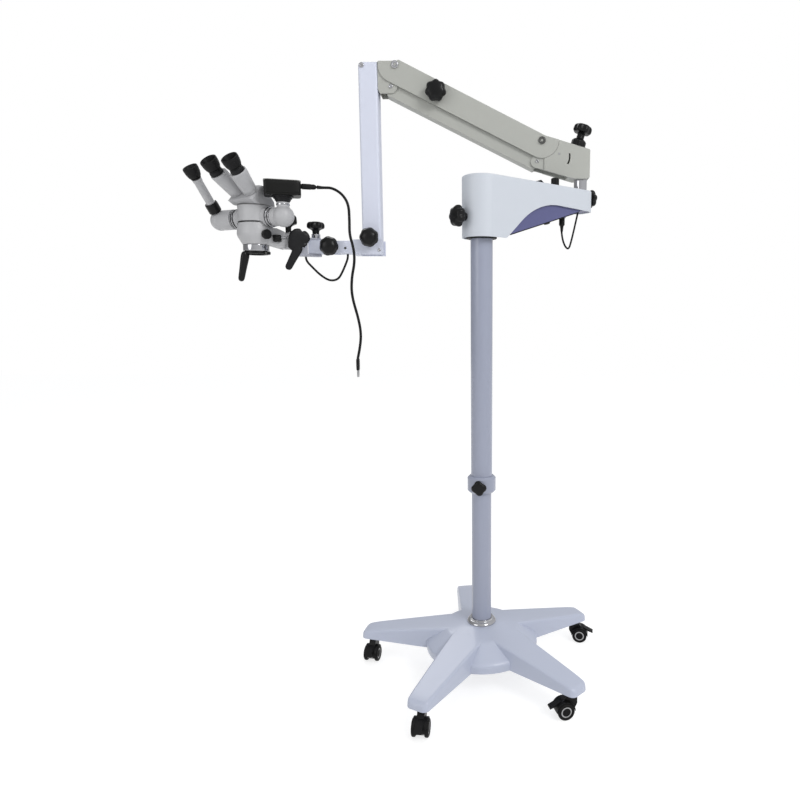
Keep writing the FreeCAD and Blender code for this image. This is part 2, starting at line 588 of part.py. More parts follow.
spring_anchor = ("pivot_x + anchor_along", "pivot_up - anchor_down")
box_fall = size("(box_top_start - box_top_end) / (box_right - 4 - box_top_x)")
box_lean = math.degrees(math.atan(box_fall))
box_knob_up = size("box_top_start") - box_fall * size("box_knob_x - box_top_x")
front_pin = ("pivot_x - link_length * cos(link_angle)", "pivot_up + link_length * sin(link_angle)")


def rear_box():
    """The box on the post: wide behind, with cheeks in front that fit inside the upper link."""
    body = new_body("rear_box")
    low = ("pivot_x - pin_back", "pivot_up - pin_drop")
    side = new_sketch(body, "XZ_Plane")
    slope = "(box_foot - pivot_up + pin_drop + lobe_radius) / (box_low_x - pivot_x + pin_back)"
    outline(side,
            ("box_step", f"box_foot - (box_low_x - box_step) * ({slope})"),
            ("box_low_x", "box_foot"), ("box_right - 8", "box_foot"), ("box_right", "box_low"),
            ("box_right", "box_top_end - 4"), ("box_right - 4", "box_top_end", "4", "right"),
            ("box_top_x", "box_top_start"), ("box_step", "box_top_start"))
    pad(body, side, "arm_half * 2", both=True)
    arc = new_sketch(body, "XZ_Plane")
    circle(arc, "pivot_x", "pivot_up", "plate_end + plate_gap")
    pocket(body, arc, both=True)
    cheek = new_sketch(body, "XZ_Plane")
    outline(cheek,
            (f"{low[0]} - lobe_radius", low[1]),
            (low[0], f"{low[1]} - lobe_radius", "lobe_radius", "right"),
            ("box_block", f"box_foot - (box_low_x - box_block) * ({slope})"),
            ("box_block", "pivot_up - 20"), ("pivot_x", "pivot_up - boss_radius - 8"),
            (f"{low[0]} - lobe_radius * 0.5", f"{low[1]} + lobe_radius * 0.9"))
    pad(body, cheek, "cheek_half * 2", both=True)
    inside = new_sketch(body, "XZ_Plane")
    outline(inside, ("pivot_x - 80", "box_foot - 30"), ("box_block", "box_foot - 30"),
            ("box_block", "box_top_end + 9"), ("pivot_x - 80", "box_top_start + 30"))
    pocket(body, inside, "(lower_half + plate_gap) * 2", both=True)
    neck = new_sketch(body, "XZ_Plane")
    outline(neck, ("box_block + 2", "pivot_up - 30"), ("box_block + 2", "pivot_up - 10"),
            ("pivot_x", "pivot_up + boss_radius"),
            ("pivot_x", "pivot_up - boss_radius", "boss_radius", "left"))
    pad(body, neck, "tongue_half * 2", both=True)
    for spot, radius in ((("pivot_x", "pivot_up"), "pin_radius"), (low, "pin_radius"),):
        pin = new_sketch(body, "XZ_Plane")
        circle(pin, spot[0], spot[1], f"{radius} + running_gap")
        pocket(body, pin, both=True)
    post = new_sketch(body, "XY_Plane", "box_foot - 20")
    circle(post, f"{post_across}", "0", "post_radius + running_gap")
    pocket(body, post, "post_top + seat_gap - box_foot + 20", reverse=True)
    anchor = new_sketch(body, "XZ_Plane")
    circle(anchor, *spring_anchor, "anchor_radius")
    pad(body, anchor, "cheek_half * 2", both=True)
    slot = new_sketch(body, "XZ_Plane")
    arc_slot(slot, spring_anchor, "slot_radius", "slot_width", -31, 10)
    pocket(body, slot, "arm_half + 2", reverse=True)
    stud = new_sketch(body, "XY_Plane")
    stud.AttachmentOffset = frame(size("box_knob_x"), 0, box_knob_up,
                                  axis=Vector(0, 1, 0), angle=box_lean)
    circle(stud, "0", "0", "stud_radius + running_gap")
    pocket(body, stud, "stud_length + 1")
    body.Placement = arm
    return body


def arc_slot(sketch, middle, radius, width, start, end):
    """A curved slot of a given width about a point, between two bearings in degrees."""
    def at(turn, reach):
        return (f"{middle[0]} + ({reach}) * cos({turn})", f"{middle[1]} + ({reach}) * sin({turn})")
    outer, inner = f"{radius} + {width} / 2", f"{radius} - {width} / 2"
    outline(sketch, at(start, outer), (*at(end, outer), outer, "right"),
            (*at(end, inner), f"{width} / 2", "right"), (*at(start, inner), inner, "left"))


def arm_post():
    turned("arm_post", arm * frame(post_across),
           ("0", "post_foot"), ("post_radius - 1", "post_foot"), ("post_radius", "post_foot + 1"),
           ("post_radius", "post_top"), ("0", "post_top"))


def spring_knob():
    """The balance adjuster: a washer, a hub and a lobed cap square to the box's sloping top."""
    lean = math.radians(box_lean)
    body = new_body("spring_knob")
    spin(body, outline(
        new_sketch(body, "XZ_Plane"),
        ("0", "0 - stud_length"), ("stud_radius", "0 - stud_length"), ("stud_radius", "0"),
        ("box_washer", "0"), ("box_washer", "1.5"), ("box_hub", "1.5"), ("box_hub", "17.5"),
        ("box_hub - 8", "21.5"), ("box_hub - 9", "35.5"), ("box_cap - 3", "36.5"),
        ("box_cap", "40"), ("box_cap - 1.5", "53"), ("box_cap * 0.55", "57"), ("0", "58")))
    notch = new_sketch(body, "XY_Plane", "36")
    circle(notch, "box_cap + 7.5", "0", "10.5")
    around(body, pocket(body, notch, "30", reverse=True), 7)
    body.Placement = towards(size("box_knob_x") + 0.3 * math.sin(lean), arm_depth,
                             box_knob_up + 0.3 * math.cos(lean),
                             (math.sin(lean), 0, math.cos(lean)), 10)


def upper_link():
    body = new_body("upper_channel")
    side = new_sketch(body, "XZ_Plane")
    outline(side,
            ("0", "0 - plate_end", "plate_end", "right"), ("link_length", "0 - plate_end"),
            ("link_length + nose_along", "0 - nose_below", "plate_end", "right"),
            ("link_length + 0.8", "nose_shoulder"), ("link_length - 3", "link_above"),
            ("0 - tail_bend", "link_above"), ("0 - tail_along", "tail_above"))
    pad(body, side, "arm_half * 2", both=True)
    inside = new_sketch(body, "XZ_Plane")
    outline(inside, ("0 - 80", "0 - 80"), ("link_length + 80", "0 - 80"),
            ("link_length + 80", "60"), ("link_length - roof_cut", "60"),
            ("link_length - roof_cut", "link_above - arm_wall"),
            ("roof_cut", "link_above - arm_wall"), ("roof_cut", "60"), ("0 - 80", "60"))
    pocket(body, inside, "(arm_half - arm_wall) * 2", both=True)
    pins = new_sketch(body, "XZ_Plane")
    circle(pins, "0", "0", "pin_radius")
    circle(pins, "link_length", "0", "pin_radius")
    pocket(body, pins, both=True)
    rod = new_sketch(body, "XZ_Plane")
    circle(rod, "spring_rod", "0 - spring_below", "anchor_radius")
    pad(body, rod, "arm_half * 2 - 1", both=True)
    knob = new_sketch(body, "XZ_Plane")
    circle(knob, "arm_knob_along", "0 - arm_knob_below", "stud_radius + running_gap")
    pocket(body, knob)
    body.Placement = link_frame(size("pivot_x"), size("pivot_up"))
    return body


def lower_link():
    body = new_body("lower_channel")
    side = new_sketch(body, "XZ_Plane")
    outline(side,
            ("0", "0 - lower_below"), ("link_length", "0 - lower_below"),
            ("link_length + lower_end", "0"),
            ("link_length", "lower_above"), ("0", "lower_above"), ("0 - lower_end", "0"))
    pad(body, side, "lower_half * 2", both=True)
    inside = new_sketch(body, "XZ_Plane")
    outline(inside, ("0 - 40", "0 - lower_below + lower_skin"),
            ("link_length + 40", "0 - lower_below + lower_skin"), ("link_length + 40", "40"),
            ("0 - 40", "40"))
    pocket(body, inside, "(lower_half - lower_skin) * 2", both=True)
    pins = new_sketch(body, "XZ_Plane")
    circle(pins, "0", "0", "pin_radius")
    circle(pins, "link_length", "0", "pin_radius")
    pocket(body, pins, both=True)
    body.Placement = link_frame(size("pivot_x - pin_back"), size("pivot_up - pin_drop"))
    return body


def with_pins(label, channel, half, headed):
    """A link's channel with the two pins that are fixed in its ends."""
    pins = []
    for along in (0, size("link_length")):
        start = Vector(along, -half, 0)
        shaft = Part.makeCylinder(size("pin_radius"), 2 * half, start, Vector(0, 1, 0))
        for face, out in ((half, 1), (-half, -1)) if headed else ():
            shaft = shaft.fuse(Part.makeCylinder(size("bolt_head"), size("bolt_height"),
                                                 Vector(along, face, 0), Vector(0, out, 0)))
        pins.append(shaft.removeSplitter())
    doc.recompute()
    place = channel.Placement
    return solids(label, channel.Shape, *[pin.transformed(place.Matrix) for pin in pins])


def balance_spring():
    """The coil spring inside the upper link, with an eye round the pin at each of its ends."""
    wire, radius = size("spring_wire"), size("spring_radius")
    rise = math.radians(size("link_angle"))
    along, down = size("anchor_along"), size("anchor_down")
    start = -along * math.cos(rise) - down * math.sin(rise)
    level = along * math.sin(rise) - down * math.cos(rise)
    way = Vector(size("spring_rod") - start, 0, -size("spring_below") - level)
    eye = size("anchor_radius") + size("seat_gap") + wire / 2
    first, last = eye + wire / 2 + 1, way.Length - eye - wire / 2 - 1
    coils = int(size("spring_coils"))
    pitch = (last - first) / coils
    heading = Vector(1, 0, 0)
    crests = [Vector(first, 0, 0)]
    for turn in range(coils):
        for part, reach in ((0.1, radius - wire * 0.4), (0.5, radius)):
            crests.append(Vector(first + pitch * (turn + part), 0, reach))
    crests += [Vector(last, 0, 0), Vector(first, 0, 0)]
    body = Part.Face(Part.makePolygon(crests)).revolve(Vector(0, 0, 0), heading, 360)
    for middle, tip, root in ((0, eye, first + 2), (way.Length, way.Length - eye, last - 2)):
        side, across = Vector(middle, -wire / 2, 0), Vector(0, 1, 0)
        ring = Part.makeCylinder(eye + wire / 2, wire, side, across).cut(
            Part.makeCylinder(eye - wire / 2, wire, side, across))
        low = min(tip, root)
        stalk = Part.makeCylinder(wire / 2, abs(root - tip), Vector(low, 0, 0), heading)
        body = body.fuse(ring).fuse(stalk)
    tilt = math.degrees(math.atan2(way.z, way.x))
    return solids("balance_spring", body.removeSplitter(),
                  place=link_frame(size("pivot_x"), size("pivot_up"))
                  * frame(start, 0, level, axis=Vector(0, 1, 0), angle=-tilt))


def knuckle():
    body = new_body("knuckle")
    pin, low = front_pin, (f"{front_pin[0]} - pin_back", f"{front_pin[1]} - pin_drop")
    side = new_sketch(body, "XZ_Plane")
    outline(side,
            ("knuckle_left", "knuckle_foot + 10"), ("knuckle_left + 5", "knuckle_foot"),
            (f"{low[0]}", f"{low[1]} - lobe_radius"),
            (f"{low[0]} + lobe_radius", low[1], "lobe_radius", "right"),
            (f"{low[0]} + lobe_radius", "knuckle_top"), ("knuckle_left", "knuckle_top"))
    pad(body, side, "cheek_half * 2", both=True)
    inside = new_sketch(body, "XZ_Plane")
    outline(inside, ("knuckle_left + 5", "knuckle_foot - 40"),
            ("knuckle_left + 5", f"{low[1]} + 14"), (f"{low[0]} + 60", f"{low[1]} + 40"),
            (f"{low[0]} + 60", "knuckle_foot - 40"))
    pocket(body, inside, "(lower_half + plate_gap) * 2", both=True)
    neck = new_sketch(body, "XZ_Plane")
    outline(neck, ("knuckle_left", f"{pin[1]} + neck_half"), ("knuckle_left", f"{pin[1]} - 18"),
            (pin[0], f"{pin[1]} - boss_radius"),
            (pin[0], f"{pin[1]} + boss_radius", "boss_radius", "right"))
    pad(body, neck, "tongue_half * 2", both=True)
    for spot in (pin, low):
        hole = new_sketch(body, "XZ_Plane")
        circle(hole, spot[0], spot[1], "pin_radius + running_gap")
        pocket(body, hole, both=True)
    body.Placement = arm
    return body


def drop_arm():
    body = new_body("drop_arm")
    side = new_sketch(body, "XZ_Plane")
    left, right = "drop_centre - drop_half", "drop_centre + drop_half"
    outline(side, (left, "drop_foot"), (right, "drop_foot"), (right, "drop_top"),
            (f"{left} + drop_corner", "drop_top"),
            (left, "drop_top - drop_corner", "drop_corner", "right"))
    pad(body, side, "drop_depth * 2", both=True)
    half = size("drop_depth")
    soften(body, "Fillet", "drop_round",
           lambda edge: abs(abs(edge.CenterOfMass.y) - half) < 0.01 and edge.Length > 300)
    hollow = new_sketch(body, "XY_Plane", "drop_foot")
    outline(hollow, (f"{left} + drop_wall", "0 - drop_depth + drop_wall"),
            (f"{right} - drop_wall", "0 - drop_depth + drop_wall"),
            (f"{right} - drop_wall", "drop_depth - drop_wall"),
            (f"{left} + drop_wall", "drop_depth - drop_wall"))
    pocket(body, hollow, "drop_top - drop_foot - drop_wall", reverse=True)
    holes = new_sketch(body, "XZ_Plane")
    circle(holes, "elbow_x", "elbow_up", "stud_radius + running_gap")
    pocket(body, holes, both=True)
    body.Placement = arm
    return body


# Lower arm: a wide channel on the drop arm and a narrow one that holds the swivel block

def lower_arm():
    outer = new_body("lower_arm")
    side = new_sketch(outer, "XZ_Plane")
    outline(side, ("channel_left", "channel_foot"), ("channel_right", "channel_foot"),
            ("channel_right", "channel_top"), ("elbow_x + elbow_lobe", "channel_top"),
            ("elbow_x", "elbow_up + elbow_lobe"), ("elbow_x - elbow_lobe", "channel_top"),
            ("channel_left", "channel_top"))
    pad(outer, side, "(drop_depth + plate_gap + channel_wall) * 2", both=True)
    inside = new_sketch(outer, "XZ_Plane")
    outline(inside, ("channel_left - 9", "channel_foot - 9"), ("channel_right + 9", "channel_foot - 9"),
            ("channel_right + 9", "elbow_up + 40"), ("channel_left - 9", "elbow_up + 40"))
    pocket(outer, inside, "(drop_depth + plate_gap) * 2", both=True)
    web = new_sketch(outer, "XZ_Plane")
    outline(web, ("channel_left", "channel_foot"), ("channel_left + 16", "channel_foot"),
            ("channel_left + 16", "channel_top"), ("channel_left", "channel_top"))
    pad(outer, web, "(drop_depth + plate_gap + 1) * 2", both=True)
    tail = new_sketch(outer, "XZ_Plane")
    outline(tail, ("wrist_x", "inner_foot", "(inner_top - inner_foot) / 2 + 0.1", "right"),
            ("channel_left + 2", "inner_foot"), ("channel_left + 2", "inner_top"),
            ("wrist_x", "inner_top"))
    pad(outer, tail, "inner_half * 2", both=True)
    slot = new_sketch(outer, "XZ_Plane")
    outline(slot, ("wrist_x - 60", "inner_foot - 9"), ("wrist_x + wrist_lobe + 4", "inner_foot - 9"),
            ("wrist_x + wrist_lobe + 4", "inner_top + 9"), ("wrist_x - 60", "inner_top + 9"))
    pocket(outer, slot, "(block_half + plate_gap) * 2", both=True)
    holes = new_sketch(outer, "XZ_Plane")
    circle(holes, "elbow_x", "elbow_up", "stud_radius + running_gap")
    circle(holes, "wrist_x", "wrist_up", "stud_radius + running_gap")
    pocket(outer, holes, both=True)
    outer.Placement = arm
    return outer


def arm_knobs():
    """The clamping knobs of the upper link, the two bends of the lower arm and the swivel."""
    spot = link_frame(size("pivot_x"), size("pivot_up")) * Vector(
        size("arm_knob_along"), 0, -size("arm_knob_below"))
    near = (0, -1, 0)
    star_knob("arm_knob", towards(spot.x, arm_depth - size("arm_half + seat_gap"), spot.z, near, 12),
              radius="knob_radius + 2", reach="knob_reach - 6")
    plates = "drop_depth + plate_gap + channel_wall"
    star_knob("lower_arm_knob", towards(size("elbow_x"), arm_depth - size(plates + " + seat_gap"),
                                        size("elbow_up"), near), stud=f"({plates}) * 2")
    star_knob("block_knob", towards(size("wrist_x"), arm_depth - size("inner_half + seat_gap"),
                                    size("wrist_up"), near, 20), stud="inner_half * 2")
    star_knob("swivel_knob", frame(size("swivel_x"), arm_depth,
                                   size("yoke_top + nut_height + seat_gap"), angle=30),
              radius="knob_radius - 1.5", reach="swivel_reach", height="knob_height - 2")
    star_knob("clamp_knob", carrier * frame(size("lock_along"), 0,
                                            size("spindle_up + cuff_radius + seat_gap"), angle=15),
              radius="knob_radius - 1", reach="lock_reach", height="lock_height")


def swivel_block():
    body = new_body("swivel_block")
    side = new_sketch(body, "XZ_Plane")
    outline(side, ("block_left", "block_foot"), ("block_right", "block_foot"),
            ("wrist_x", "wrist_up - wrist_lobe + 2"),
            ("wrist_x", "wrist_up + wrist_lobe - 2", "wrist_lobe - 2", "right"),
            ("block_right", "block_top"), ("block_left", "block_top"))
    pad(body, side, "block_half * 2", both=True)
    wrist = new_sketch(body, "XZ_Plane")
    circle(wrist, "wrist_x", "wrist_up", "stud_radius + running_gap")
    pocket(body, wrist, both=True)
    bore = new_sketch(body, "XY_Plane", "block_foot")
    circle(bore, "swivel_x", "0", "swivel_radius + running_gap")
    pocket(body, bore, reverse=True)
    body.Placement = arm
    return body


# Head: a tilt joint, the microscope body, its binocular, camera and assistant's tube

head = frame(size("head_x"), size("head_y")) * frame(angle=size("head_turn"))
carrier_x = size("swivel_x") - size("head_x")
carrier_y = arm_depth - size("head_y")
carrier_span = math.hypot(carrier_x, carrier_y)
carrier = (frame(size("head_x"), size("head_y"))
           * frame(angle=math.degrees(math.atan2(carrier_y, carrier_x))))


def swivel_ear(body, foot, tall):
    """A rounded plate round the swivel pin, reaching back to the yoke's clamp."""
    ear = new_sketch(body, "XY_Plane", foot)
    outline(ear, (f"{carrier_span}", "0 - ear_radius"),
            (f"{carrier_span}", "ear_radius", "ear_radius", "right"),
            ("yoke_start", "ear_radius"), ("yoke_start", "0 - ear_radius"))
    pad(body, ear, tall)


def tilt_yoke():
    """A clamp round the head's spindle, with ears above and below the swivel block."""
    body = new_body("tilt_yoke")
    block = new_sketch(body, "XZ_Plane")
    outline(block, ("yoke_start", "yoke_foot"), ("yoke_end", "yoke_foot"),
            ("yoke_end", "yoke_high - 6"), ("yoke_end - 6", "yoke_high"),
            ("yoke_start", "yoke_high"))
    pad(body, block, "yoke_half * 2", both=True)
    swivel_ear(body, "yoke_top - ear_thick", "ear_thick")
    swivel_ear(body, "yoke_foot", "ear_thick")
    pin = new_sketch(body, "XY_Plane", "yoke_foot")
    circle(pin, f"{carrier_span}", "0", "swivel_radius")
    pad(body, pin, "yoke_top - yoke_foot")
    nut = new_sketch(body, "XY_Plane", "yoke_top")
    circle(nut, f"{carrier_span}", "0", "nut_radius")
    pad(body, nut, "nut_height")
    stud = new_sketch(body, "XY_Plane", "yoke_top + nut_height - stud_length - 1")
    circle(stud, f"{carrier_span}", "0", "stud_radius + running_gap")
    pocket(body, stud, reverse=True)
    bore = new_sketch(body, "YZ_Plane")
    circle(bore, "0", "spindle_up", "spindle_radius + running_gap")
    pocket(body, bore, "yoke_end + 2", reverse=True)
    lever = new_sketch(body, "XZ_Plane")
    circle(lever, "lever_along", "spindle_up + spindle_radius + 8", "stud_radius + running_gap")
    pocket(body, lever, reverse=True)
    body.Placement = carrier
    return body


def tilt_lever():
    """A clamping lever: a round hub with a tapered handle, on the yoke's near side."""
    body = new_body("tilt_lever")
    hub = new_sketch(body, "XY_Plane", "seat_gap")
    circle(hub, "0", "0", "lever_radius")
    pad(body, hub, "lever_thick")
    grip = new_sketch(body, "XY_Plane", "lever_thick - 1")
    outline(grip, ("0", "0 - lever_radius * 0.75"),
            ("handle_long", "0 - 8.3"), ("handle_long", "8.3", "8.5", "right"),
            ("handle_long * 0.35", "lever_radius * 0.85"), ("0", "lever_radius * 0.97"))
    pad(body, grip, "lever_thick * 0.45")
    stud = new_sketch(body, "XY_Plane", "0 - stud_length")
    circle(stud, "0", "0", "stud_radius")
    pad(body, stud, "stud_length + 1")
    near = Rotation(Vector(0, 1, 0), size("lever_angle")) * Rotation(Vector(1, 0, 0), 90)
    body.Placement = carrier * Placement(
        Vector(size("lever_along"), -size("yoke_half"), size("spindle_up + spindle_radius + 8")), near)
    return body


def scope_body():
    """The lower casting: a round body, and the carrier that runs out to its tilt spindle."""
    body = new_body("scope_body")
    spin(body, outline(
        new_sketch(body, "XZ_Plane"),
        ("0", "body_foot"), ("body_mouth", "body_foot"),
        ("body_radius - 4", "body_foot + 14"), ("body_radius", "body_foot + 25", "22", "right"),
        ("body_radius - 1", "seam_level - 14"), ("body_neck - 1", "seam_level - 2"),
        ("body_neck - 4", "seam_level"), ("0", "seam_level")))
    side = new_sketch(body, "XZ_Plane")
    outline(side, ("10", "body_foot"), ("chrome_radius + 3", "body_foot"),
            ("cuff_start", "carrier_foot + 3"),
            ("cuff_start", "carrier_top - 8"), ("body_radius + 4", "carrier_top"),
            ("10", "carrier_top"))
    pad(body, side, "carrier_half * 2", both=True)
    cuff = new_sketch(body, "YZ_Plane", "cuff_start - 8")
    circle(cuff, "0", "spindle_up", "cuff_radius")
    pad(body, cuff, "disc_start - cuff_start + 8")
    spindle = new_sketch(body, "YZ_Plane", "cuff_start")
    circle(spindle, "0", "spindle_up", "spindle_radius")
    pad(body, spindle, "yoke_end - cuff_start - 1")
    bore = new_sketch(body, "XY_Plane", "body_foot - 1")
    circle(bore, "0", "0", "body_bore")
    pocket(body, bore, reverse=True)
    lock = new_sketch(body, "XY_Plane", "spindle_up + cuff_radius - stud_length - 1")
    circle(lock, "lock_along", "0", "stud_radius + running_gap")
    pocket(body, lock, reverse=True)
    body.Placement = carrier
    return body


def tilt_disc():
    turned("tilt_disc", carrier * towards(size("disc_start"), 0, size("spindle_up"), (1, 0, 0)),
           ("spindle_radius", "0"), ("disc_radius - 1", "0"), ("disc_radius", "1"),
           ("disc_radius", "disc_thick"), ("spindle_radius", "disc_thick"))


def beam_splitter():
    """A short drum with a round port on each side."""
    body = new_body("beam_splitter")
    spin(body, outline(
        new_sketch(body, "XZ_Plane"),
        ("0", "seam_level"), ("body_neck - 5", "seam_level"), ("body_neck - 5", "seam_level + 2"),
        ("splitter_radius", "seam_level + 2"), ("splitter_radius", "joint_level - 2"),
        ("splitter_radius - 2", "joint_level"), ("0", "joint_level")))
    port = new_sketch(body, "YZ_Plane")
    circle(port, "0", "port_level", "port_radius")
    pad(body, port, "port_reach * 2", both=True)
    seat = new_sketch(body, "XY_Plane", "port_level - port_radius - 1")
    circle(seat, "0", "0", "body_radius + seat_gap")
    pocket(body, seat, "seam_level - port_level + port_radius + 1", reverse=True)
    bore = new_sketch(body, "XY_Plane", "seam_level - 1")
    circle(bore, "0", "0", "splitter_bore")
    pocket(body, bore, reverse=True)
    cross = new_sketch(body, "YZ_Plane")
    circle(cross, "0", "port_level", "spigot_radius + running_gap")
    pocket(body, cross, both=True)
    body.Placement = head
    return body


def objective():
    turned("objective_ring", head * frame(z=size("ring_foot")),
           ("lens_radius + running_gap", "0"), ("chrome_radius", "0"),
           ("chrome_radius", "body_foot - ring_foot"),
           ("body_bore - 1", "body_foot - ring_foot"), ("body_bore - 1", "lens_thick + 6"),
           ("lens_radius + running_gap", "lens_thick + 6"))
    crown = "(lens_radius^2 + lens_sag^2) / (2 * lens_sag)"
    turned("objective_lens", head * frame(z=size("ring_foot + 2")),
           ("0", "0 - lens_sag"), ("lens_radius", "0", crown, "right"),
           ("lens_radius", "lens_thick"), ("0", "lens_thick + lens_sag", crown, "right"))
    ring = turned("grip_handle", head * frame(z=size("grip_foot"), angle=size("handle_turn")),
                  ("lens_radius + 1", "0"), ("grip_ring - 1", "0"), ("grip_ring", "1"),
                  ("grip_ring", "ring_foot - grip_foot - 0.3"),
                  ("lens_radius + 1", "ring_foot - grip_foot - 0.3"))
    grip = new_sketch(ring, "XZ_Plane")
    outline(grip, ("grip_ring - 1", "ring_foot - grip_foot - 0.3"),
            ("lens_radius + 1", "ring_foot - grip_foot - 0.3"), ("lens_radius + 1", "0 - 2"),
            ("grip_ring - handle_lean * 0.3", "0 - handle_length + 4"),
            ("grip_ring + handle_radius - 2", "0 - handle_length + 4", "7", "right"),
            ("grip_ring + handle_radius", "0 - handle_length * 0.4"))
    pad(ring, grip, "handle_radius * 2", both=True)
    turned("zoom_knob", head * frame(angle=size("zoom_turn"))
           * towards(size("body_radius + seat_gap"), 0, size("zoom_level"), (1, 0, 0)),
           ("0", "0"), ("zoom_radius", "0"), ("zoom_radius", "zoom_height - 1.5"),
           ("zoom_radius - 1.5", "zoom_height"), ("0", "zoom_height"))


def binocular():
    """A wedge-shaped prism housing whose sloping face carries the two swinging tubes."""
    body = new_body("binocular_body")
    side = new_sketch(body, "YZ_Plane")
    outline(side, ("0 - wedge_front", "joint_level"), ("wedge_back", "joint_level"),
            ("wedge_back - 2", "joint_level + wedge_shoulder"),
            ("0 - wedge_ridge_at + 14", "joint_level + wedge_ridge + 1"),
            ("0 - wedge_ridge_at", "joint_level + wedge_ridge"),
            ("0 - wedge_chin", "joint_level + wedge_ridge - wedge_chin + wedge_ridge_at"))
    pad(body, side, "wedge_half * 2", both=True)
    half = size("wedge_half")
    soften(body, "Fillet", "wedge_round", lambda edge: abs(abs(edge.CenterOfMass.x) - half) < 0.01
           and edge.CenterOfMass.z > size("joint_level") + 1)
    body.Placement = head
    return body


def slope():
    """The frame of the binocular's sloping face: X to the side, Y up the slope, Z along the tubes."""
    back = size("wedge_ridge_at") + size("foot_slope") * math.sqrt(0.5)
    up = size("joint_level + wedge_ridge") - size("foot_slope") * math.sqrt(0.5)
    return head * Placement(Vector(0, -back, up), Rotation(Vector(1, 0, 0), 45))


def eye_tube(side, name):
    """An eccentric conical tube with its collar and hollow eye cup."""
    across = size("eye_half - foot_half")
    down = math.sqrt(size("foot_swing") ** 2 - across ** 2)
    gap = size("seat_gap")
    middle, end = size("tube_length"), size("tube_length + eye_collar_length")
    foot = Part.Wire(Part.Circle(Vector(0, 0, gap + 1), Vector(0, 0, 1), size("tube_foot")).toShape())
    eye = Vector(side * across, -down, 0)
    top = Part.Wire(Part.Circle(eye * 0.8 + Vector(0, 0, middle), Vector(0, 0, 1),
                                size("tube_top")).toShape())
    tube = Part.makeLoft([foot, top], True, True)
    collar = Part.makeCylinder(size("eye_collar"), size("eye_collar_length") + 8,
                               eye + Vector(0, 0, middle - 4))
    seat = Part.makeCylinder(size("tube_foot + 0.6"), 3, Vector(0, 0, gap))
    tube = tube.fuse([collar, seat])
    place = slope() * frame(side * size("foot_half"), 0, 0)
    solids(f"eye_tube_{name}", tube.removeSplitter(), place=place)
    turned(f"eye_cup_{name}", place * frame(eye.x, eye.y, end + 4),
           ("0", "0"), ("eye_collar + 0.5", "0"), ("cup_radius - 3", "cup_length * 0.45"),
           ("cup_radius", "cup_length - 4"), ("cup_radius - 2", "cup_length"),
           ("cup_radius - 4", "cup_length"), ("cup_bore", "cup_length - cup_depth"),
           ("0", "cup_length - cup_depth"))


def port_coupler(label, place, reach, ball):
    """A stepped ring in a port, and the ball-shaped prism housing on it."""
    body = new_body(label)
    face = "port_reach + seat_gap"
    spin(body, outline(
        new_sketch(body, "XZ_Plane"),
        ("port_reach - port_seat", "0"), (reach + " + " + ball, "0"),
        (reach, ball, ball, "right"),
        (f"{reach} - sqrt({ball}^2 - ball_neck^2)", "ball_neck", ball, "right"),
        ("port_reach + 14", "ball_neck"), ("port_reach + 12", "port_radius - 1"),
        ("port_reach + 9", "port_radius - 1"), ("port_reach + 8", "port_radius - 3"),
        ("port_reach + 6", "port_radius - 3"), ("port_reach + 5", "port_radius + 1"),
        (face, "port_radius + 1"), (face, "spigot_radius"),
        ("port_reach - port_seat", "spigot_radius")), axis="H_Axis")
    body.Placement = place
    return body


port_frame = head * frame(z=size("port_level"))
side_frame = port_frame * frame(angle=180)


camera_frame = head * frame(size("camera_reach")) * frame(angle=size("camera_turn"))


def camera():
    """The prism housing on the right port, with the camera on its neck."""
    body = port_coupler("camera_coupler", port_frame, "camera_reach", "camera_ball")
    neck = new_sketch(body, "XY_Plane")
    circle(neck, "camera_reach", "0", "neck_radius")
    pad(body, neck, "adapter_level - port_level")
    box = new_body("camera_body")
    spin(box, outline(
        new_sketch(box, "XZ_Plane"),
        ("0", "adapter_level"), ("neck_radius + 1", "adapter_level"),
        ("adapter_radius - 4", "camera_level - 6"), ("adapter_radius - 4", "camera_level - 4"),
        ("adapter_radius", "camera_level - 4"), ("adapter_radius", "camera_level + 2"),
        ("0", "camera_level + 2")))
    case = new_sketch(box, "XY_Plane", "camera_level")
    wide, deep = "camera_length / 2", "camera_depth / 2"
    outline(case, (f"0 - {wide}", f"0 - {deep}"), (wide, f"0 - {deep}"), (wide, deep),
            (f"0 - {wide}", deep))
    pad(box, case, "camera_height")
    high, low = size("camera_level + camera_height"), size("camera_level")
    soften(box, "Fillet", "camera_round",
           lambda edge: abs(edge.CenterOfMass.z - (high + low) / 2) < 1 and edge.Length > 30)
    socket = new_sketch(box, "YZ_Plane", "camera_length / 2 + 5")
    circle(socket, "0", "plug_level", "plug_radius * 0.7 + running_gap")
    pocket(box, socket, "plug_seat + 5.5")
    box.Placement = camera_frame
    turned("camera_plug",
           camera_frame * towards(size("camera_length / 2"), 0, size("plug_level"), (1, 0, 0)),
           ("0", "0 - plug_seat"), ("plug_radius * 0.7", "0 - plug_seat"),
           ("plug_radius * 0.7", "seat_gap"), ("plug_radius", "seat_gap"),
           ("plug_radius", "plug_length - 14"), ("plug_radius - 2", "plug_length - 12"),
           ("camera_cord / 2 + 1", "plug_length"), ("0", "plug_length"))


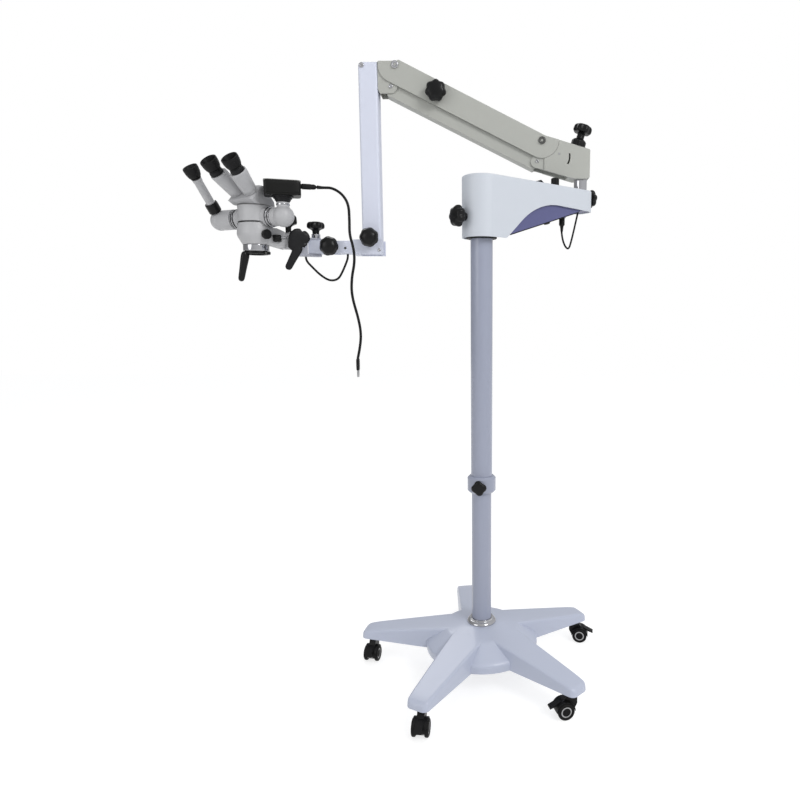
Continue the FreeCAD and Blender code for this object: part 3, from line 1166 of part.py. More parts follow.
def assistant():
    """The second observer's elbow, tube and eye cup on the left port."""
    port_coupler("assistant_elbow", side_frame, "side_reach", "side_ball")
    lean = math.radians(size("side_lean"))
    place = side_frame * towards(size("side_reach"), 0, 0, (0, math.sin(lean), math.cos(lean)))
    stop = "side_ball + side_sleeve_length"
    end = f"{stop} + side_tube_length"
    turned("assistant_tube", place,
           ("0", "side_ball + 0.3"), ("side_sleeve - 1", "side_ball + 0.3"),
           ("side_sleeve", "side_ball + 1.3"), ("side_sleeve", f"{stop} - 1"),
           ("side_sleeve - 1", stop), ("side_tube", stop), ("side_tube", end), ("0", end))
    turned("assistant_cup", place,
           ("0", f"{end} + 0.3"), ("side_tube + 0.8", f"{end} + 0.3"),
           ("side_cup - 2", f"{end} + side_cup_length * 0.55"),
           ("side_cup", f"{end} + side_cup_length - 5"),
           ("side_cup", f"{end} + side_cup_length - 2"), ("side_cup - 2", f"{end} + side_cup_length"),
           ("side_cup - 4", f"{end} + side_cup_length"), ("side_cup - 9", f"{end} + side_cup_length - 14"),
           ("0", f"{end} + side_cup_length - 14"))


def cord(label, spots, width, plug=None):
    """A plain tube along straight runs joined by arcs as large as the runs allow."""
    diameter = size(width)
    edges, last = [], spots[0]
    for before, corner, after in zip(spots, spots[1:], spots[2:]):
        back, ahead = before - corner, after - corner
        half = (math.pi - back.getAngle(ahead)) / 2
        cut = 0.45 * min(back.Length, ahead.Length)
        radius = cut / math.tan(half)
        inward = (back.normalize() + ahead.normalize()).normalize()
        enter, leave = corner + back * cut, corner + ahead * cut
        middle = corner + inward * (radius / math.cos(half) - radius)
        edges.append(Part.LineSegment(last, enter).toShape())
        edges.append(Part.Arc(enter, middle, leave).toShape())
        last = leave
        print(f"{label}: bend radius {radius:.1f} mm, turn {math.degrees(half * 2):.0f} degrees")
    edges.append(Part.LineSegment(last, spots[-1]).toShape())
    path = Part.Wire(edges)
    ring = Part.Wire(Part.Circle(spots[0], spots[1] - spots[0], diameter / 2).toShape())
    shape = path.makePipeShell([ring], True, False)
    ratio = shape.Volume / (math.pi * diameter ** 2 / 4 * path.Length)
    print(f"{label}: {path.Length:.0f} mm long, volume over section times length {ratio:.3f}")
    return solids(label, shape.fuse(plug) if plug else shape)


def cords():
    """The camera's lead and its plug, the lamp's lead, and the console's own short lead."""
    out = camera_frame * Vector(size("camera_length / 2 + plug_length + seat_gap"), 0,
                                size("plug_level"))
    lead = [out, out + camera_frame.Rotation.multVec(Vector(14, 0, -0.5))]
    lead += [Vector(x, size("lead_depth"), z) for x, z in (
        (-359, 1164), (-335, 1150), (-320, 1126), (-319, 1088), (-320, 1054), (-311, 1024),
        (-309, 990), (-318, 950), (-319, 908), (-303, 850), (-298, 812), (-303, 776), (-308, 755))]
    plug = [Part.makeBox(8, 15, 30, Vector(-312, size("lead_depth") - 7.5, 725)),
            Part.makeBox(4.5, 12, 17, Vector(-310.2, size("lead_depth") - 6, 708))]
    cord("camera_lead", lead, "camera_cord", plug[0].fuse(plug[1]))
    cord("light_lead", [Vector(x, arm_depth, z) for x, z in (
        (-447, 1007.1), (-447, 998), (-433, 983), (-411, 961), (-388, 947), (-366, 951),
        (-354, 972), (-345, 992), (-340, 1005), (-340, 1014.1))], "light_cord")
    start = size("gland_level - lead_plug_length - seat_gap")
    cord("console_lead", [console * Vector(s, 0, z) for s, z in (
        (size("gland_place"), start), (248, start - 12), (258, 1031), (272, 1023), (281, 1046),
        (293, 1086), (302, size("post_foot - 6.6")))], "console_cord")


def write_parts():
    doc.recompute()
    os.makedirs("parts", exist_ok=True)
    inner = set()
    for item in doc.Objects:
        if "Invalid" in item.State or "Error" in item.State:
            raise RuntimeError(f"{item.Name}: {item.State}")
        if item.TypeId == "PartDesign::Body":
            inner.update(member.Name for member in item.Group)
    total = 0
    for item in doc.Objects:
        if item.TypeId not in ("PartDesign::Body", "Part::Feature") or item.Name in inner:
            continue
        if item.Label.endswith("_channel"):
            continue
        shape = item.Shape
        if shape.isNull() or not shape.isValid() or not shape.Solids:
            raise RuntimeError(f"{item.Label} has no sound shape")
        shape.exportStep(f"parts/{item.Label}.step")
        total += 1
        print(f"{item.Label:24s} {len(shape.Solids)} solid {shape.Volume / 1000:9.2f} cm3")
    print(total, "files")


star_base()
trails = [-10, 80, 260, 265, 195]
for number in range(5):
    caster(number + 1, size("base_heading") + 72 * number, trails[number])
column()
console_shell()
console_frame()
console_fittings()
arm_post()
rear_box()
spring_knob()
with_pins("upper_link", upper_link(), size("arm_half"), True)
with_pins("lower_link", lower_link(), size("cheek_half + seat_gap"), False)
balance_spring()
knuckle()
drop_arm()
lower_arm()
swivel_block()
tilt_yoke()
tilt_lever()
scope_body()
beam_splitter()
objective()
binocular()
eye_tube(-1, "left")
eye_tube(1, "right")
camera()
assistant()
arm_knobs()
tilt_disc()
cords()
write_parts()
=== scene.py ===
import json
import math

import bmesh
import bpy
import numpy as np
from mathutils import Matrix, Vector


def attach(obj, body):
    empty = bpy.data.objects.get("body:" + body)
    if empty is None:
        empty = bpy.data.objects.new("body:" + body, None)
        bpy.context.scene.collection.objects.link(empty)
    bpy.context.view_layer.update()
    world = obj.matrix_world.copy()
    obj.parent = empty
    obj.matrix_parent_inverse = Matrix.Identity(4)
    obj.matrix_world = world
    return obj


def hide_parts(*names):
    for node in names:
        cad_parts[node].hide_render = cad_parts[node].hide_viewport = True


# A floor-standing surgical microscope. Metres; Z is up, the column stands on the origin,
# and the head reaches out along -X.

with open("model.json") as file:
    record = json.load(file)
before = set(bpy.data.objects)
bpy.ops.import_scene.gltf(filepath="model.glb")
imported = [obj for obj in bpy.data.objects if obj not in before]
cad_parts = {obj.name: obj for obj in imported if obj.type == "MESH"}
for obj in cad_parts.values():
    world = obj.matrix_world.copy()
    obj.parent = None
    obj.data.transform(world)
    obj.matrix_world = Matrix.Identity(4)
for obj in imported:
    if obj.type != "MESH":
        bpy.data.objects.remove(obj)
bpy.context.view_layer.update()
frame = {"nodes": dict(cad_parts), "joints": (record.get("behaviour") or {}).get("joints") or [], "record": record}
jointNamed = {joint["name"]: joint for joint in frame["joints"]}
slotOfNode = {part["node"]: part["material_slot"] for part in frame["record"]["subparts"]}
bodyOfNode = {node: body for body, nodes in frame["record"]["behaviour"]["bodies"].items()
              for node in nodes}
mm = 0.001


# Node tools

# gives a socket a plain value, or a link from another node
def feed(links, socket, value):
    if isinstance(value, (int, float, tuple)):
        socket.default_value = value
    else:
        links.new(value, socket)


def mathNode(nodes, links, operation, *values):
    node = nodes.new("ShaderNodeMath")
    node.operation = operation
    for socket, value in zip(node.inputs, values):
        feed(links, socket, value)
    return node.outputs[0]


def vectorNode(nodes, links, operation, first, second, socket=1):
    node = nodes.new("ShaderNodeVectorMath")
    node.operation = operation
    feed(links, node.inputs[0], first)
    feed(links, node.inputs[socket], second)
    return node


def mixShaders(nodes, links, share, first, second, surface):
    mix = nodes.new("ShaderNodeMixShader")
    for socket, output in zip(mix.inputs, (share, first, second)):
        links.new(output, socket)
    links.new(mix.outputs[0], surface)


# Camera, stage and light

cameraSettings = {
    "place": (0.0, -1.465, 0.879),
    "pitchDown": 8.27,      # degrees below the horizon
    "lens": 28.53,          # millimetres, on a 36 mm sensor
    "shiftX": -0.102,
}


def setCamera(values):
    data = bpy.data.cameras.new("studioCamera")
    data.lens = values["lens"]
    data.sensor_width = 36
    data.shift_x = values["shiftX"]
    data.clip_start = 0.05
    camera = bpy.data.objects.new("studioCamera", data)
    camera.location = values["place"]
    camera.rotation_euler = (math.radians(90 - values["pitchDown"]), 0, 0)
    bpy.context.collection.objects.link(camera)
    bpy.context.scene.camera = camera


stageSettings = {
    "floorSize": 14.0,
    "shade": 0.9,           # the floor's own paleness, which lights the object from below
    "glowShare": 0.55,      # how much of the floor that the camera sees is plain white
    "seenGlow": 1.36,       # how bright that white is to the camera alone
    "worldDark": 0.3,       # the studio's light from the far left below
    "worldBright": 0.74,    # and from the near right above
    "worldWay": (0.75, -0.35, 0.56),
    "worldTint": (0.98, 0.99, 1, 1),
}


# the floor's own surface, shown to reflections as plain white, and to the camera as white
# with a share of the lit surface left in it, which carries the shadow
def whiteFloor(nodes, links, surface, shader, values):
    path = nodes.new("ShaderNodeLightPath")
    glow = nodes.new("ShaderNodeEmission")
    glow.inputs["Color"].default_value = (1, 1, 1, 1)
    seen = mathNode(nodes, links, "MULTIPLY", path.outputs["Is Camera Ray"], values["seenGlow"] - 1)
    links.new(mathNode(nodes, links, "ADD", seen, 1.0), glow.inputs["Strength"])
    share = mathNode(nodes, links, "MULTIPLY", path.outputs["Is Camera Ray"], values["glowShare"])
    mirrored = mathNode(nodes, links, "MAXIMUM", path.outputs["Is Glossy Ray"],
                        path.outputs["Is Transmission Ray"])
    mixShaders(nodes, links, mathNode(nodes, links, "MAXIMUM", share, mirrored),
               shader.outputs[0], glow.outputs[0], surface)


def buildStage(values):
    half = values["floorSize"] / 2
    mesh = bpy.data.meshes.new("floor")
    mesh.from_pydata([(-half, -half, 0), (half, -half, 0), (half, half, 0), (-half, half, 0)],
                     [], [(0, 1, 2, 3)])
    floor = bpy.data.objects.new("floor", mesh)
    bpy.context.collection.objects.link(floor)
    material = bpy.data.materials.new("palePaperFloor")
    material.use_nodes = True
    nodes, links = material.node_tree.nodes, material.node_tree.links
    shader = nodes["Principled BSDF"]
    shader.inputs["Base Color"].default_value = (values["shade"],) * 3 + (1,)
    shader.inputs["Roughness"].default_value = 0.9
    shader.inputs["Specular IOR Level"].default_value = 0.1
    whiteFloor(nodes, links, nodes["Material Output"].inputs["Surface"], shader, values)
    mesh.materials.append(material)
    world = bpy.data.worlds.new("studio")
    bpy.context.scene.world = world
    world.use_nodes = True
    nodes, links = world.node_tree.nodes, world.node_tree.links
    lit = nodes["Background"]
    lit.inputs["Color"].default_value = values["worldTint"]
    place = nodes.new("ShaderNodeTexCoord").outputs["Generated"]
    way = vectorNode(nodes, links, "DOT_PRODUCT", place, values["worldWay"])
    ramp = nodes.new("ShaderNodeMapRange")
    ramp.interpolation_type = "SMOOTHSTEP"
    ramp.inputs["From Min"].default_value = -1
    ramp.inputs["To Min"].default_value = values["worldDark"]
    ramp.inputs["To Max"].default_value = values["worldBright"]
    links.new(way.outputs["Value"], ramp.inputs["Value"])
    links.new(ramp.outputs["Result"], lit.inputs["Strength"])
    seen = nodes.new("ShaderNodeBackground")
    seen.inputs["Color"].default_value = (1, 1, 1, 1)
    path = nodes.new("ShaderNodeLightPath")
    plain = mathNode(nodes, links, "MAXIMUM", path.outputs["Is Camera Ray"],
                     path.outputs["Is Transmission Ray"])
    mixShaders(nodes, links, plain, lit.outputs[0], seen.outputs[0],
               nodes["World Output"].inputs["Surface"])


lamps = {
    "key": {"place": (1.9, -2.1, 2.8), "aim": (-0.1, 0.1, 0.9), "size": 1.4, "power": 44},
    "fill": {"place": (-2.3, -2.0, 1.7), "aim": (-0.2, 0.1, 0.9), "size": 1.8, "power": 15},
    "rim": {"place": (-0.8, 2.2, 2.6), "aim": (-0.2, 0.1, 0.9), "size": 1.5, "power": 16},
}


def lightStudio(values):
    for name, lamp in values.items():
        data = bpy.data.lights.new(name, "AREA")
        data.shape = "DISK"
        data.size = lamp["size"]
        data.energy = lamp["power"]
        light = bpy.data.objects.new(name, data)
        light.location = lamp["place"]
        way = Vector(lamp["aim"]) - Vector(lamp["place"])
        light.rotation_euler = way.to_track_quat("-Z", "Y").to_euler()
        bpy.context.collection.objects.link(light)


setCamera(cameraSettings)
buildStage(stageSettings)
lightStudio(lamps)
bpy.context.scene.view_settings.view_transform = "Standard"
print("stage, lamps and camera are set")


# Shader groups shared by the finishes

def newGroup(name, inputs, outputs):
    group = bpy.data.node_groups.new(name, "ShaderNodeTree")
    for label, kind, value in inputs:
        socket = group.interface.new_socket(name=label, in_out="INPUT", socket_type=kind)
        socket.default_value = value
    for label, kind in outputs:
        group.interface.new_socket(name=label, in_out="OUTPUT", socket_type=kind)
    return group, group.nodes.new("NodeGroupInput"), group.nodes.new("NodeGroupOutput")


def noiseNode(nodes, links, coordinates, scale, detail=2.0):
    node = nodes.new("ShaderNodeTexNoise")
    links.new(coordinates, node.inputs["Vector"])
    feed(links, node.inputs["Scale"], scale)
    node.inputs["Detail"].default_value = detail
    return node.outputs["Fac"]


def mixColours(nodes, links, factor, first, second):
    node = nodes.new("ShaderNodeMix")
    node.data_type = "RGBA"
    for number, value in ((0, factor), (6, first), (7, second)):     # its colour sockets
        feed(links, node.inputs[number], value)
    return node.outputs[2]


# colour that drifts a little, a fine grain in the height, and roughness with faint smears
def surfaceGroup():
    group, given, made = newGroup(
        "workedSurface",
        [("Colour", "NodeSocketColor", (0.5, 0.5, 0.5, 1)), ("Drift", "NodeSocketFloat", 0.05),
         ("Grain Size", "NodeSocketFloat", 900.0), ("Roughness", "NodeSocketFloat", 0.4),
         ("Smear", "NodeSocketFloat", 0.08), ("Dust", "NodeSocketFloat", 0.0)],
        [("Colour", "NodeSocketColor"), ("Roughness", "NodeSocketFloat"),
         ("Height", "NodeSocketFloat")])
    nodes, links = group.nodes, group.links
    place = nodes.new("ShaderNodeTexCoord").outputs["Object"]
    broad = noiseNode(nodes, links, place, 9.0, 3.0)
    grain = noiseNode(nodes, links, place, given.outputs["Grain Size"], 2.0)
    smear = noiseNode(nodes, links, place, 42.0, 5.0)
    centred = mathNode(nodes, links, "SUBTRACT", broad, 0.5)
    lift = mathNode(nodes, links, "MULTIPLY", centred, given.outputs["Drift"])
    bright = mathNode(nodes, links, "ADD", lift, 1.0)
    scaled = vectorNode(nodes, links, "SCALE", given.outputs["Colour"], bright, 3)
    # dust settles on faces that look up
    facing = nodes.new("ShaderNodeNewGeometry").outputs["Normal"]
    parts = nodes.new("ShaderNodeSeparateXYZ")
    links.new(facing, parts.inputs[0])
    upward = mathNode(nodes, links, "MAXIMUM", parts.outputs["Z"], 0.0)
    patchy = mathNode(nodes, links, "MULTIPLY", upward, smear)
    dusty = mathNode(nodes, links, "MULTIPLY", patchy, given.outputs["Dust"])
    colour = mixColours(nodes, links, dusty, scaled.outputs[0], (0.55, 0.54, 0.52, 1))
    rough = mathNode(nodes, links, "SUBTRACT", smear, 0.5)
    rough = mathNode(nodes, links, "MULTIPLY", rough, given.outputs["Smear"])
    rough = mathNode(nodes, links, "ADD", rough, given.outputs["Roughness"])
    links.new(colour, made.inputs["Colour"])
    links.new(rough, made.inputs["Roughness"])
    links.new(grain, made.inputs["Height"])
    return group


# a mask that picks worn edges: where a bevelled normal leaves the true one, broken by noise
def wearGroup():
    group, given, made = newGroup(
        "edgeWear", [("Radius", "NodeSocketFloat", 0.0008), ("Amount", "NodeSocketFloat", 0.5)],
        [("Mask", "NodeSocketFloat")])
    nodes, links = group.nodes, group.links
    rounded = nodes.new("ShaderNodeBevel")
    rounded.samples = 4
    links.new(given.outputs["Radius"], rounded.inputs["Radius"])
    dot = vectorNode(nodes, links, "DOT_PRODUCT", rounded.outputs[0],
                     nodes.new("ShaderNodeNewGeometry").outputs["Normal"])
    away = mathNode(nodes, links, "SUBTRACT", 1.0, dot.outputs["Value"])
    place = nodes.new("ShaderNodeTexCoord").outputs["Object"]
    broken = noiseNode(nodes, links, place, 160.0, 4.0)
    mask = mathNode(nodes, links, "MULTIPLY", away, broken)
    mask = mathNode(nodes, links, "MULTIPLY", mask, given.outputs["Amount"])
    node = nodes.new("ShaderNodeClamp")
    links.new(mask, node.inputs["Value"])
    links.new(node.outputs[0], made.inputs["Mask"])
    return group


surfaceTree = surfaceGroup()
wearTree = wearGroup()
coatHaze = 0.12


# one finish: the shared surface group, worn edges where asked, and a bump from the grain
def finish(name, colour, roughness=0.4, metallic=0.0, drift=0.04, grainSize=900.0, grainDepth=0.0,
           smear=0.08, dust=0.0, coat=0.0, wear=0.0, wornColour=(0.5, 0.5, 0.5, 1), specular=0.5):
    material = bpy.data.materials.new(name)
    material.use_nodes = True
    nodes, links = material.node_tree.nodes, material.node_tree.links
    shader = nodes["Principled BSDF"]
    work = nodes.new("ShaderNodeGroup")
    work.node_tree = surfaceTree
    for label, value in (("Colour", (*colour, 1)), ("Drift", drift), ("Grain Size", grainSize),
                         ("Roughness", roughness), ("Smear", smear), ("Dust", dust)):
        work.inputs[label].default_value = value
    top = work.outputs["Colour"]
    if wear:
        edges = nodes.new("ShaderNodeGroup")
        edges.node_tree = wearTree
        edges.inputs["Amount"].default_value = wear
        top = mixColours(nodes, links, edges.outputs["Mask"], top, wornColour)
    links.new(top, shader.inputs["Base Color"])
    links.new(work.outputs["Roughness"], shader.inputs["Roughness"])
    shader.inputs["Metallic"].default_value = metallic
    shader.inputs["Coat Weight"].default_value = coat
    shader.inputs["Coat Roughness"].default_value = coatHaze
    shader.inputs["Specular IOR Level"].default_value = specular
    if grainDepth:
        bump = nodes.new("ShaderNodeBump")
        bump.inputs["Distance"].default_value = grainDepth
        bump.inputs["Strength"].default_value = 1
        links.new(work.outputs["Height"], bump.inputs["Height"])
        links.new(bump.outputs[0], shader.inputs["Normal"])
    return material


# a colour as it is seen, 0 to 255, as the linear light that a shader wants
def linear(red, green, blue):
    return tuple(((value / 255 + 0.055) / 1.055) ** 2.4 if value > 10.3 else value / 255 / 12.92
                 for value in (red, green, blue))


finishes = {
    "base_paint": finish("castEnamel", linear(184, 190, 208), 0.36, drift=0.03, grainSize=500,
                         grainDepth=0.00006, dust=0.06, coat=0.25, wear=0.25),
    "column_paint": finish("columnEnamel", linear(154, 159, 177), 0.3, drift=0.03, grainSize=900,
                           grainDepth=0.00003, coat=0.3),
    "housing": finish("mouldedHousing", linear(203, 208, 216), 0.42, drift=0.02, grainSize=1600,
                      grainDepth=0.00005, dust=0.03),
    "chassis": finish("chassisEnamel", linear(86, 88, 132), 0.38, drift=0.04, grainSize=700,
                      grainDepth=0.00004, coat=0.2),
    "arm_paint": finish("armEnamel", linear(174, 175, 169), 0.44, drift=0.02, grainSize=1300,
                        grainDepth=0.00006, dust=0.04, wear=0.3, wornColour=(0.35, 0.35, 0.34, 1)),
    "drop_paint": finish("dropArmEnamel", linear(214, 218, 233), 0.4, drift=0.02, grainSize=1300,
                         grainDepth=0.00005),
    "head_paint": finish("headEnamel", linear(181, 181, 183), 0.4, drift=0.03, grainSize=1100,
                         grainDepth=0.00005, wear=0.2),
    "chrome": finish("polishedChrome", (0.5, 0.5, 0.52), 0.1, metallic=1.0, drift=0.3,
                     smear=0.06),
    "steel": finish("brushedSteel", (0.42, 0.42, 0.43), 0.3, metallic=1.0, drift=0.05),
    "spring_steel": finish("springSteel", (0.2, 0.2, 0.21), 0.38, metallic=1.0, drift=0.1),
    "black_plastic": finish("knobPlastic", linear(19, 19, 20), 0.3, drift=0.15, grainSize=1500,
                            grainDepth=0.00004, specular=0.22),
    "black_metal": finish("blackAnodised", linear(24, 24, 26), 0.38, drift=0.1, specular=0.2,
                          grainSize=1500, grainDepth=0.00003, wear=0.3,
                          wornColour=(0.16, 0.16, 0.17, 1)),
    "black_rubber": finish("eyeCupRubber", linear(20, 20, 21), 0.5, drift=0.1, grainSize=1200,
                           grainDepth=0.00006, specular=0.2),
    "caster_shell": finish("casterShell", linear(15, 15, 16), 0.4, drift=0.1, grainSize=1000,
                           grainDepth=0.00005, dust=0.02, specular=0.18),
    "caster_tread": finish("casterTread", linear(13, 13, 13), 0.55, drift=0.15, grainSize=800,
                           grainDepth=0.0001, dust=0.03, specular=0.15),
    "lens_glass": finish("coatedLens", (0.02, 0.025, 0.05), 0.03, metallic=0.2, drift=0.02,
                         smear=0.02, coat=1.0),
    "camera_case": finish("cameraPaint", linear(20, 20, 19), 0.36, drift=0.1, grainSize=1700,
                          grainDepth=0.00006, specular=0.2),
    "lead_sheath": finish("leadSheath", linear(17, 17, 18), 0.45, drift=0.1, grainSize=900,
                          grainDepth=0.00003, specular=0.2),
    # painted shade: the drop arm's paint darkened for the yoke, whose side sits in shade
    "drop_paint_shaded": finish("dropArmEnamelShaded", linear(170, 172, 184), 0.42, drift=0.03, grainSize=1300,
                         grainDepth=0.00005),
    "darkSteel": finish("darkenedSteel", (0.12, 0.12, 0.115), 0.35, metallic=0.9, drift=0.1),
    "brass": finish("seatBrass", (0.5, 0.33, 0.12), 0.35, metallic=1.0, drift=0.1),
    # painted highlight: the camera lid's pale grey stands for light along the top of the black case
    "lidHighlight": finish("cameraLidHighlight", linear(120, 120, 116), 0.4, drift=0.1,
                      grainSize=1700, grainDepth=0.00004),
}
print("finishes are made")


# Meshes

# puts a piece on the body of a CAD node
def rideWithNode(piece, node):
    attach(piece, bodyOfNode[node])
    return piece


def evenShading(piece):
    even = piece.modifiers.new("evenShading", "WEIGHTED_NORMAL")
    even.keep_sharp = True


softening = {"merge": 0.004, "flat": 0.6, "segments": 2, "corner": 32}     # mm, degrees


# a merged copy of a CAD node with its edges rounded, in the node's place
def softenNode(node, width, material=None, slotName=None):
    mesh = frame["nodes"][node].data.copy()
    mesh.name = node + "Dressed"
    work = bmesh.new()
    work.from_mesh(mesh)
    bmesh.ops.remove_doubles(work, verts=work.verts, dist=softening["merge"] * mm)
    bmesh.ops.dissolve_limit(work, angle_limit=math.radians(softening["flat"]), verts=work.verts,
                             edges=work.edges)
    work.to_mesh(mesh)
    work.free()
    piece = bpy.data.objects.new(node + "_dressed", mesh)
    bpy.context.collection.objects.link(piece)
    mesh.polygons.foreach_set("use_smooth", [True] * len(mesh.polygons))
    mesh.materials.clear()
    mesh.materials.append(finishes[material or slotOfNode[node]])
    bevel = piece.modifiers.new("roundEdges", "BEVEL")
    bevel.width = width * mm
    bevel.segments = softening["segments"]
    bevel.limit_method = "ANGLE"
    bevel.angle_limit = math.radians(softening["corner"])
    evenShading(piece)
    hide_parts(node)
    rideWithNode(piece, node)


# how wide each carried-over piece has its edges rounded, in millimetres
edgeWidths = {
    "column_ring": 0.6, "lower_column": 0.4, "upper_column": 1.2,
    "console_shell": 1.0, "console_chassis": 0.6, "rear_box": 1.2, "upper_link": 0.9,
    "lower_link": 0.8, "knuckle": 0.9, "drop_arm": 1.0, "lower_arm": 1.0, "swivel_block": 1.2,
    "tilt_yoke": 1.0, "scope_body": 1.6, "beam_splitter": 1.0, "binocular_body": 4.5,
}
# the yoke takes the drop arm's paint darkened, as painted shade
shadedYoke = {"material": "drop_paint_shaded", "slotName": "drop_paint"}
for name, node in frame["nodes"].items():
    if name in edgeWidths:
        softenNode(name, edgeWidths[name], **(shadedYoke if name == "tilt_yoke" else {}))
        continue
    node.data.materials.clear()
    node.data.materials.append(finishes[slotOfNode[name]])
print("CAD pieces are dressed")


# Shape tools

# a half section from corners (radius, height, rounding): each inner one becomes a quadratic
# curve that starts and ends its rounding away along the two edges
def roundedProfile(corners, rounding=0, steps=4):
    spots = np.array([corner[:2] for corner in corners], dtype=float)
    amount = np.array([[*corner, rounding][2] for corner in corners])[1:-1]
    here = spots[1:-1]

    def pulled(other):
        way = other - here
        far = np.linalg.norm(way, axis=1)
        return here + way / far[:, None] * np.minimum(amount, far * 0.45)[:, None]

    start, end = pulled(spots[:-2])[:, None], pulled(spots[2:])[:, None]
    t = np.linspace(0, 1, steps)[None, :, None]
    curve = (1 - t) ** 2 * start + 2 * t * (1 - t) * here[:, None] + t ** 2 * end
    return np.vstack([spots[:1], curve.reshape(-1, 2), spots[-1:]])


# a grid of points, rows by columns, as a mesh whose columns close on themselves; rows that
# shrink to one point are merged into a pole
def meshFromGrid(name, grid, loopRows=False):
    rows, columns = grid.shape[:2]
    number = np.arange(rows * columns).reshape(rows, columns)
    if loopRows:
        number = np.vstack([number, number[:1]])
    right = np.roll(number, -1, axis=1)
    faces = np.stack([number[:-1], right[:-1], right[1:], number[1:]], axis=-1).reshape(-1, 4)
    mesh = bpy.data.meshes.new(name)
    mesh.from_pydata(grid.reshape(-1, 3).tolist(), [], faces.tolist())
    work = bmesh.new()
    work.from_mesh(mesh)
    bmesh.ops.remove_doubles(work, verts=work.verts, dist=0.000002)
    bmesh.ops.recalc_face_normals(work, faces=work.faces)
    work.to_mesh(mesh)
    work.free()
    return mesh


# points in millimetres, turned and moved to a place, in metres
def placed(points, place):
    turn = np.array(place.to_3x3())
    return points * mm @ turn.T + np.array(place.translation)


# a finished piece from a mesh: its material, smooth shading with creases, its body and nodes
def addPiece(name, mesh, material, node, replaced=(), slotName=None, crease=35):
    piece = bpy.data.objects.new(name, mesh)
    bpy.context.collection.objects.link(piece)
    mesh.materials.append(finishes[material])
    mesh.polygons.foreach_set("use_smooth", [True] * len(mesh.polygons))
    mesh.set_sharp_from_angle(angle=math.radians(crease))
    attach(piece, bodyOfNode[node])
    if replaced:
        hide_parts(*replaced)
    return piece


# rings round Z: at each height of the profile its radius less carve(angle, radius, height)
def spunGrid(profile, around, carve=None):
    angle = np.linspace(0, 2 * math.pi, around, endpoint=False)[None, :]
    radius, height = profile[:, :1] + 0 * angle, profile[:, 1:] + 0 * angle
    if carve is not None:
        radius = np.maximum(radius - carve(angle, radius, height), 0)
    return np.stack([radius * np.cos(angle), radius * np.sin(angle), height], axis=-1)


def spunPiece(name, profile, place, material, node, replaced=(), carve=None, around=72, **more):
    grid = placed(spunGrid(profile, around, carve), place)
    return addPiece(name, meshFromGrid(name, grid), material, node, replaced, **more)


# the points of the superellipse |x|^p + |y|^p = 1, at even steps of the angle
def superellipse(power, around):
    angle = np.linspace(0, 2 * math.pi, around, endpoint=False)
    both = np.stack([np.cos(angle), np.sin(angle)])
    return np.sign(both) * np.abs(both) ** (2 / power)


# points along X, each with a Y and a Z
def along(x, y=0, z=0):
    return np.stack([x, y + 0 * x, z + 0 * x], axis=-1)


# a limb: superellipses carried along stations of centres in a plane, with half widths
# across it and deep that change from station to station
def limbPiece(name, centres, across, deep, place, material, node, replaced=(), power=3.0,
              around=40, **more):
    ahead = np.gradient(centres, axis=0)
    ahead /= np.linalg.norm(ahead, axis=1)[:, None]
    side = np.stack([-ahead[:, 1], ahead[:, 0], 0 * ahead[:, 0]], axis=-1)
    up = np.array([0.0, 0.0, 1.0])
    u, v = superellipse(power, around)[:, None, :, None]
    a, b = (np.array(half, dtype=float)[:, None, None] for half in (across, deep))
    grid = centres[:, None] + side[:, None] * a * u + up * b * v
    return addPiece(name, meshFromGrid(name, placed(grid, place)), material, node, replaced, **more)


# a box with rounded corners: superellipses of a share of its half sizes at each height
def boxPiece(name, half, rows, place, material, node, replaced=(), power=9, around=96, **more):
    u, v = superellipse(power, around)
    share, level = np.array(rows, dtype=float).T[:, :, None]
    grid = np.stack([share * u * half[0], share * v * half[1], level + 0 * u], axis=-1)
    addPiece(name, meshFromGrid(name, placed(grid, place)), material, node, replaced, **more)


def at(x, y, z):
    return Matrix.Translation((x * mm, y * mm, z * mm))


def turned(axis, degrees):
    return Matrix.Rotation(math.radians(degrees), 4, axis)


# a place whose Z axis looks along a direction, by the shortest turn
def looking(x, y, z, way, spin=0):
    look = Vector((0, 0, 1)).rotation_difference(Vector(way)).to_matrix().to_4x4()
    return at(x, y, z) @ look @ turned("Z", spin)


# The frames of the object's main parts, as the source of its solids has them

consoleTurn, consoleReach = 36.65, 308
armDepth = consoleReach * math.sin(math.radians(consoleTurn))
consoleFrame = turned("Z", consoleTurn)
armFrame = at(0, armDepth, 0)
headFrame = at(-550, 120, 0) @ turned("Z", -23)
carrierFrame = at(-550, 120, 0) @ turned("Z", math.degrees(math.atan2(armDepth - 120, 130.5)))
slopeFrame = headFrame @ at(0, -31.678, 1149.322) @ turned("X", 45)
cameraFrame = headFrame @ at(87, 0, 0) @ turned("Z", 40)
sideFrame = headFrame @ at(0, 0, 1094) @ turned("Z", 180)


# Base: a cast hub with a low skirt, and five tapering legs that grow out of it

starBase = {
    "heading": 27.1, "reach": 300, "root": 56,
    "hubTop": 119, "slope": 0.156, "flatRadius": 42,    # the whole top is one low cone
    "tipHalf": 23.5, "taper": 0.078,                    # a leg's half width, and its growth inwards
    "wallLean": 2, "edgeRound": 6, "footRound": 1.5,
    "footRoot": 56, "footTip": 59.5,
    "tipFall": 3, "tipStart": 262,
    "endLong": 12, "endSides": 11, "endTop": 6,         # how a leg's end is rounded
    "sink": 0.9, "sinkLong": 16, "hubGap": 0.3,         # the root dips under the hub's skin
    "shoulder": 58, "panelStart": 89, "skirtReach": 136, "skirtTop": 80,
    "skirtFoot": 57.5, "bore": 25.6,
}


# height of the cone that hub and legs share, hub top - slope * (r - flat radius)
def coneTop(radius, form):
    return form["hubTop"] - form["slope"] * np.maximum(radius - form["flatRadius"] + 2, 0)


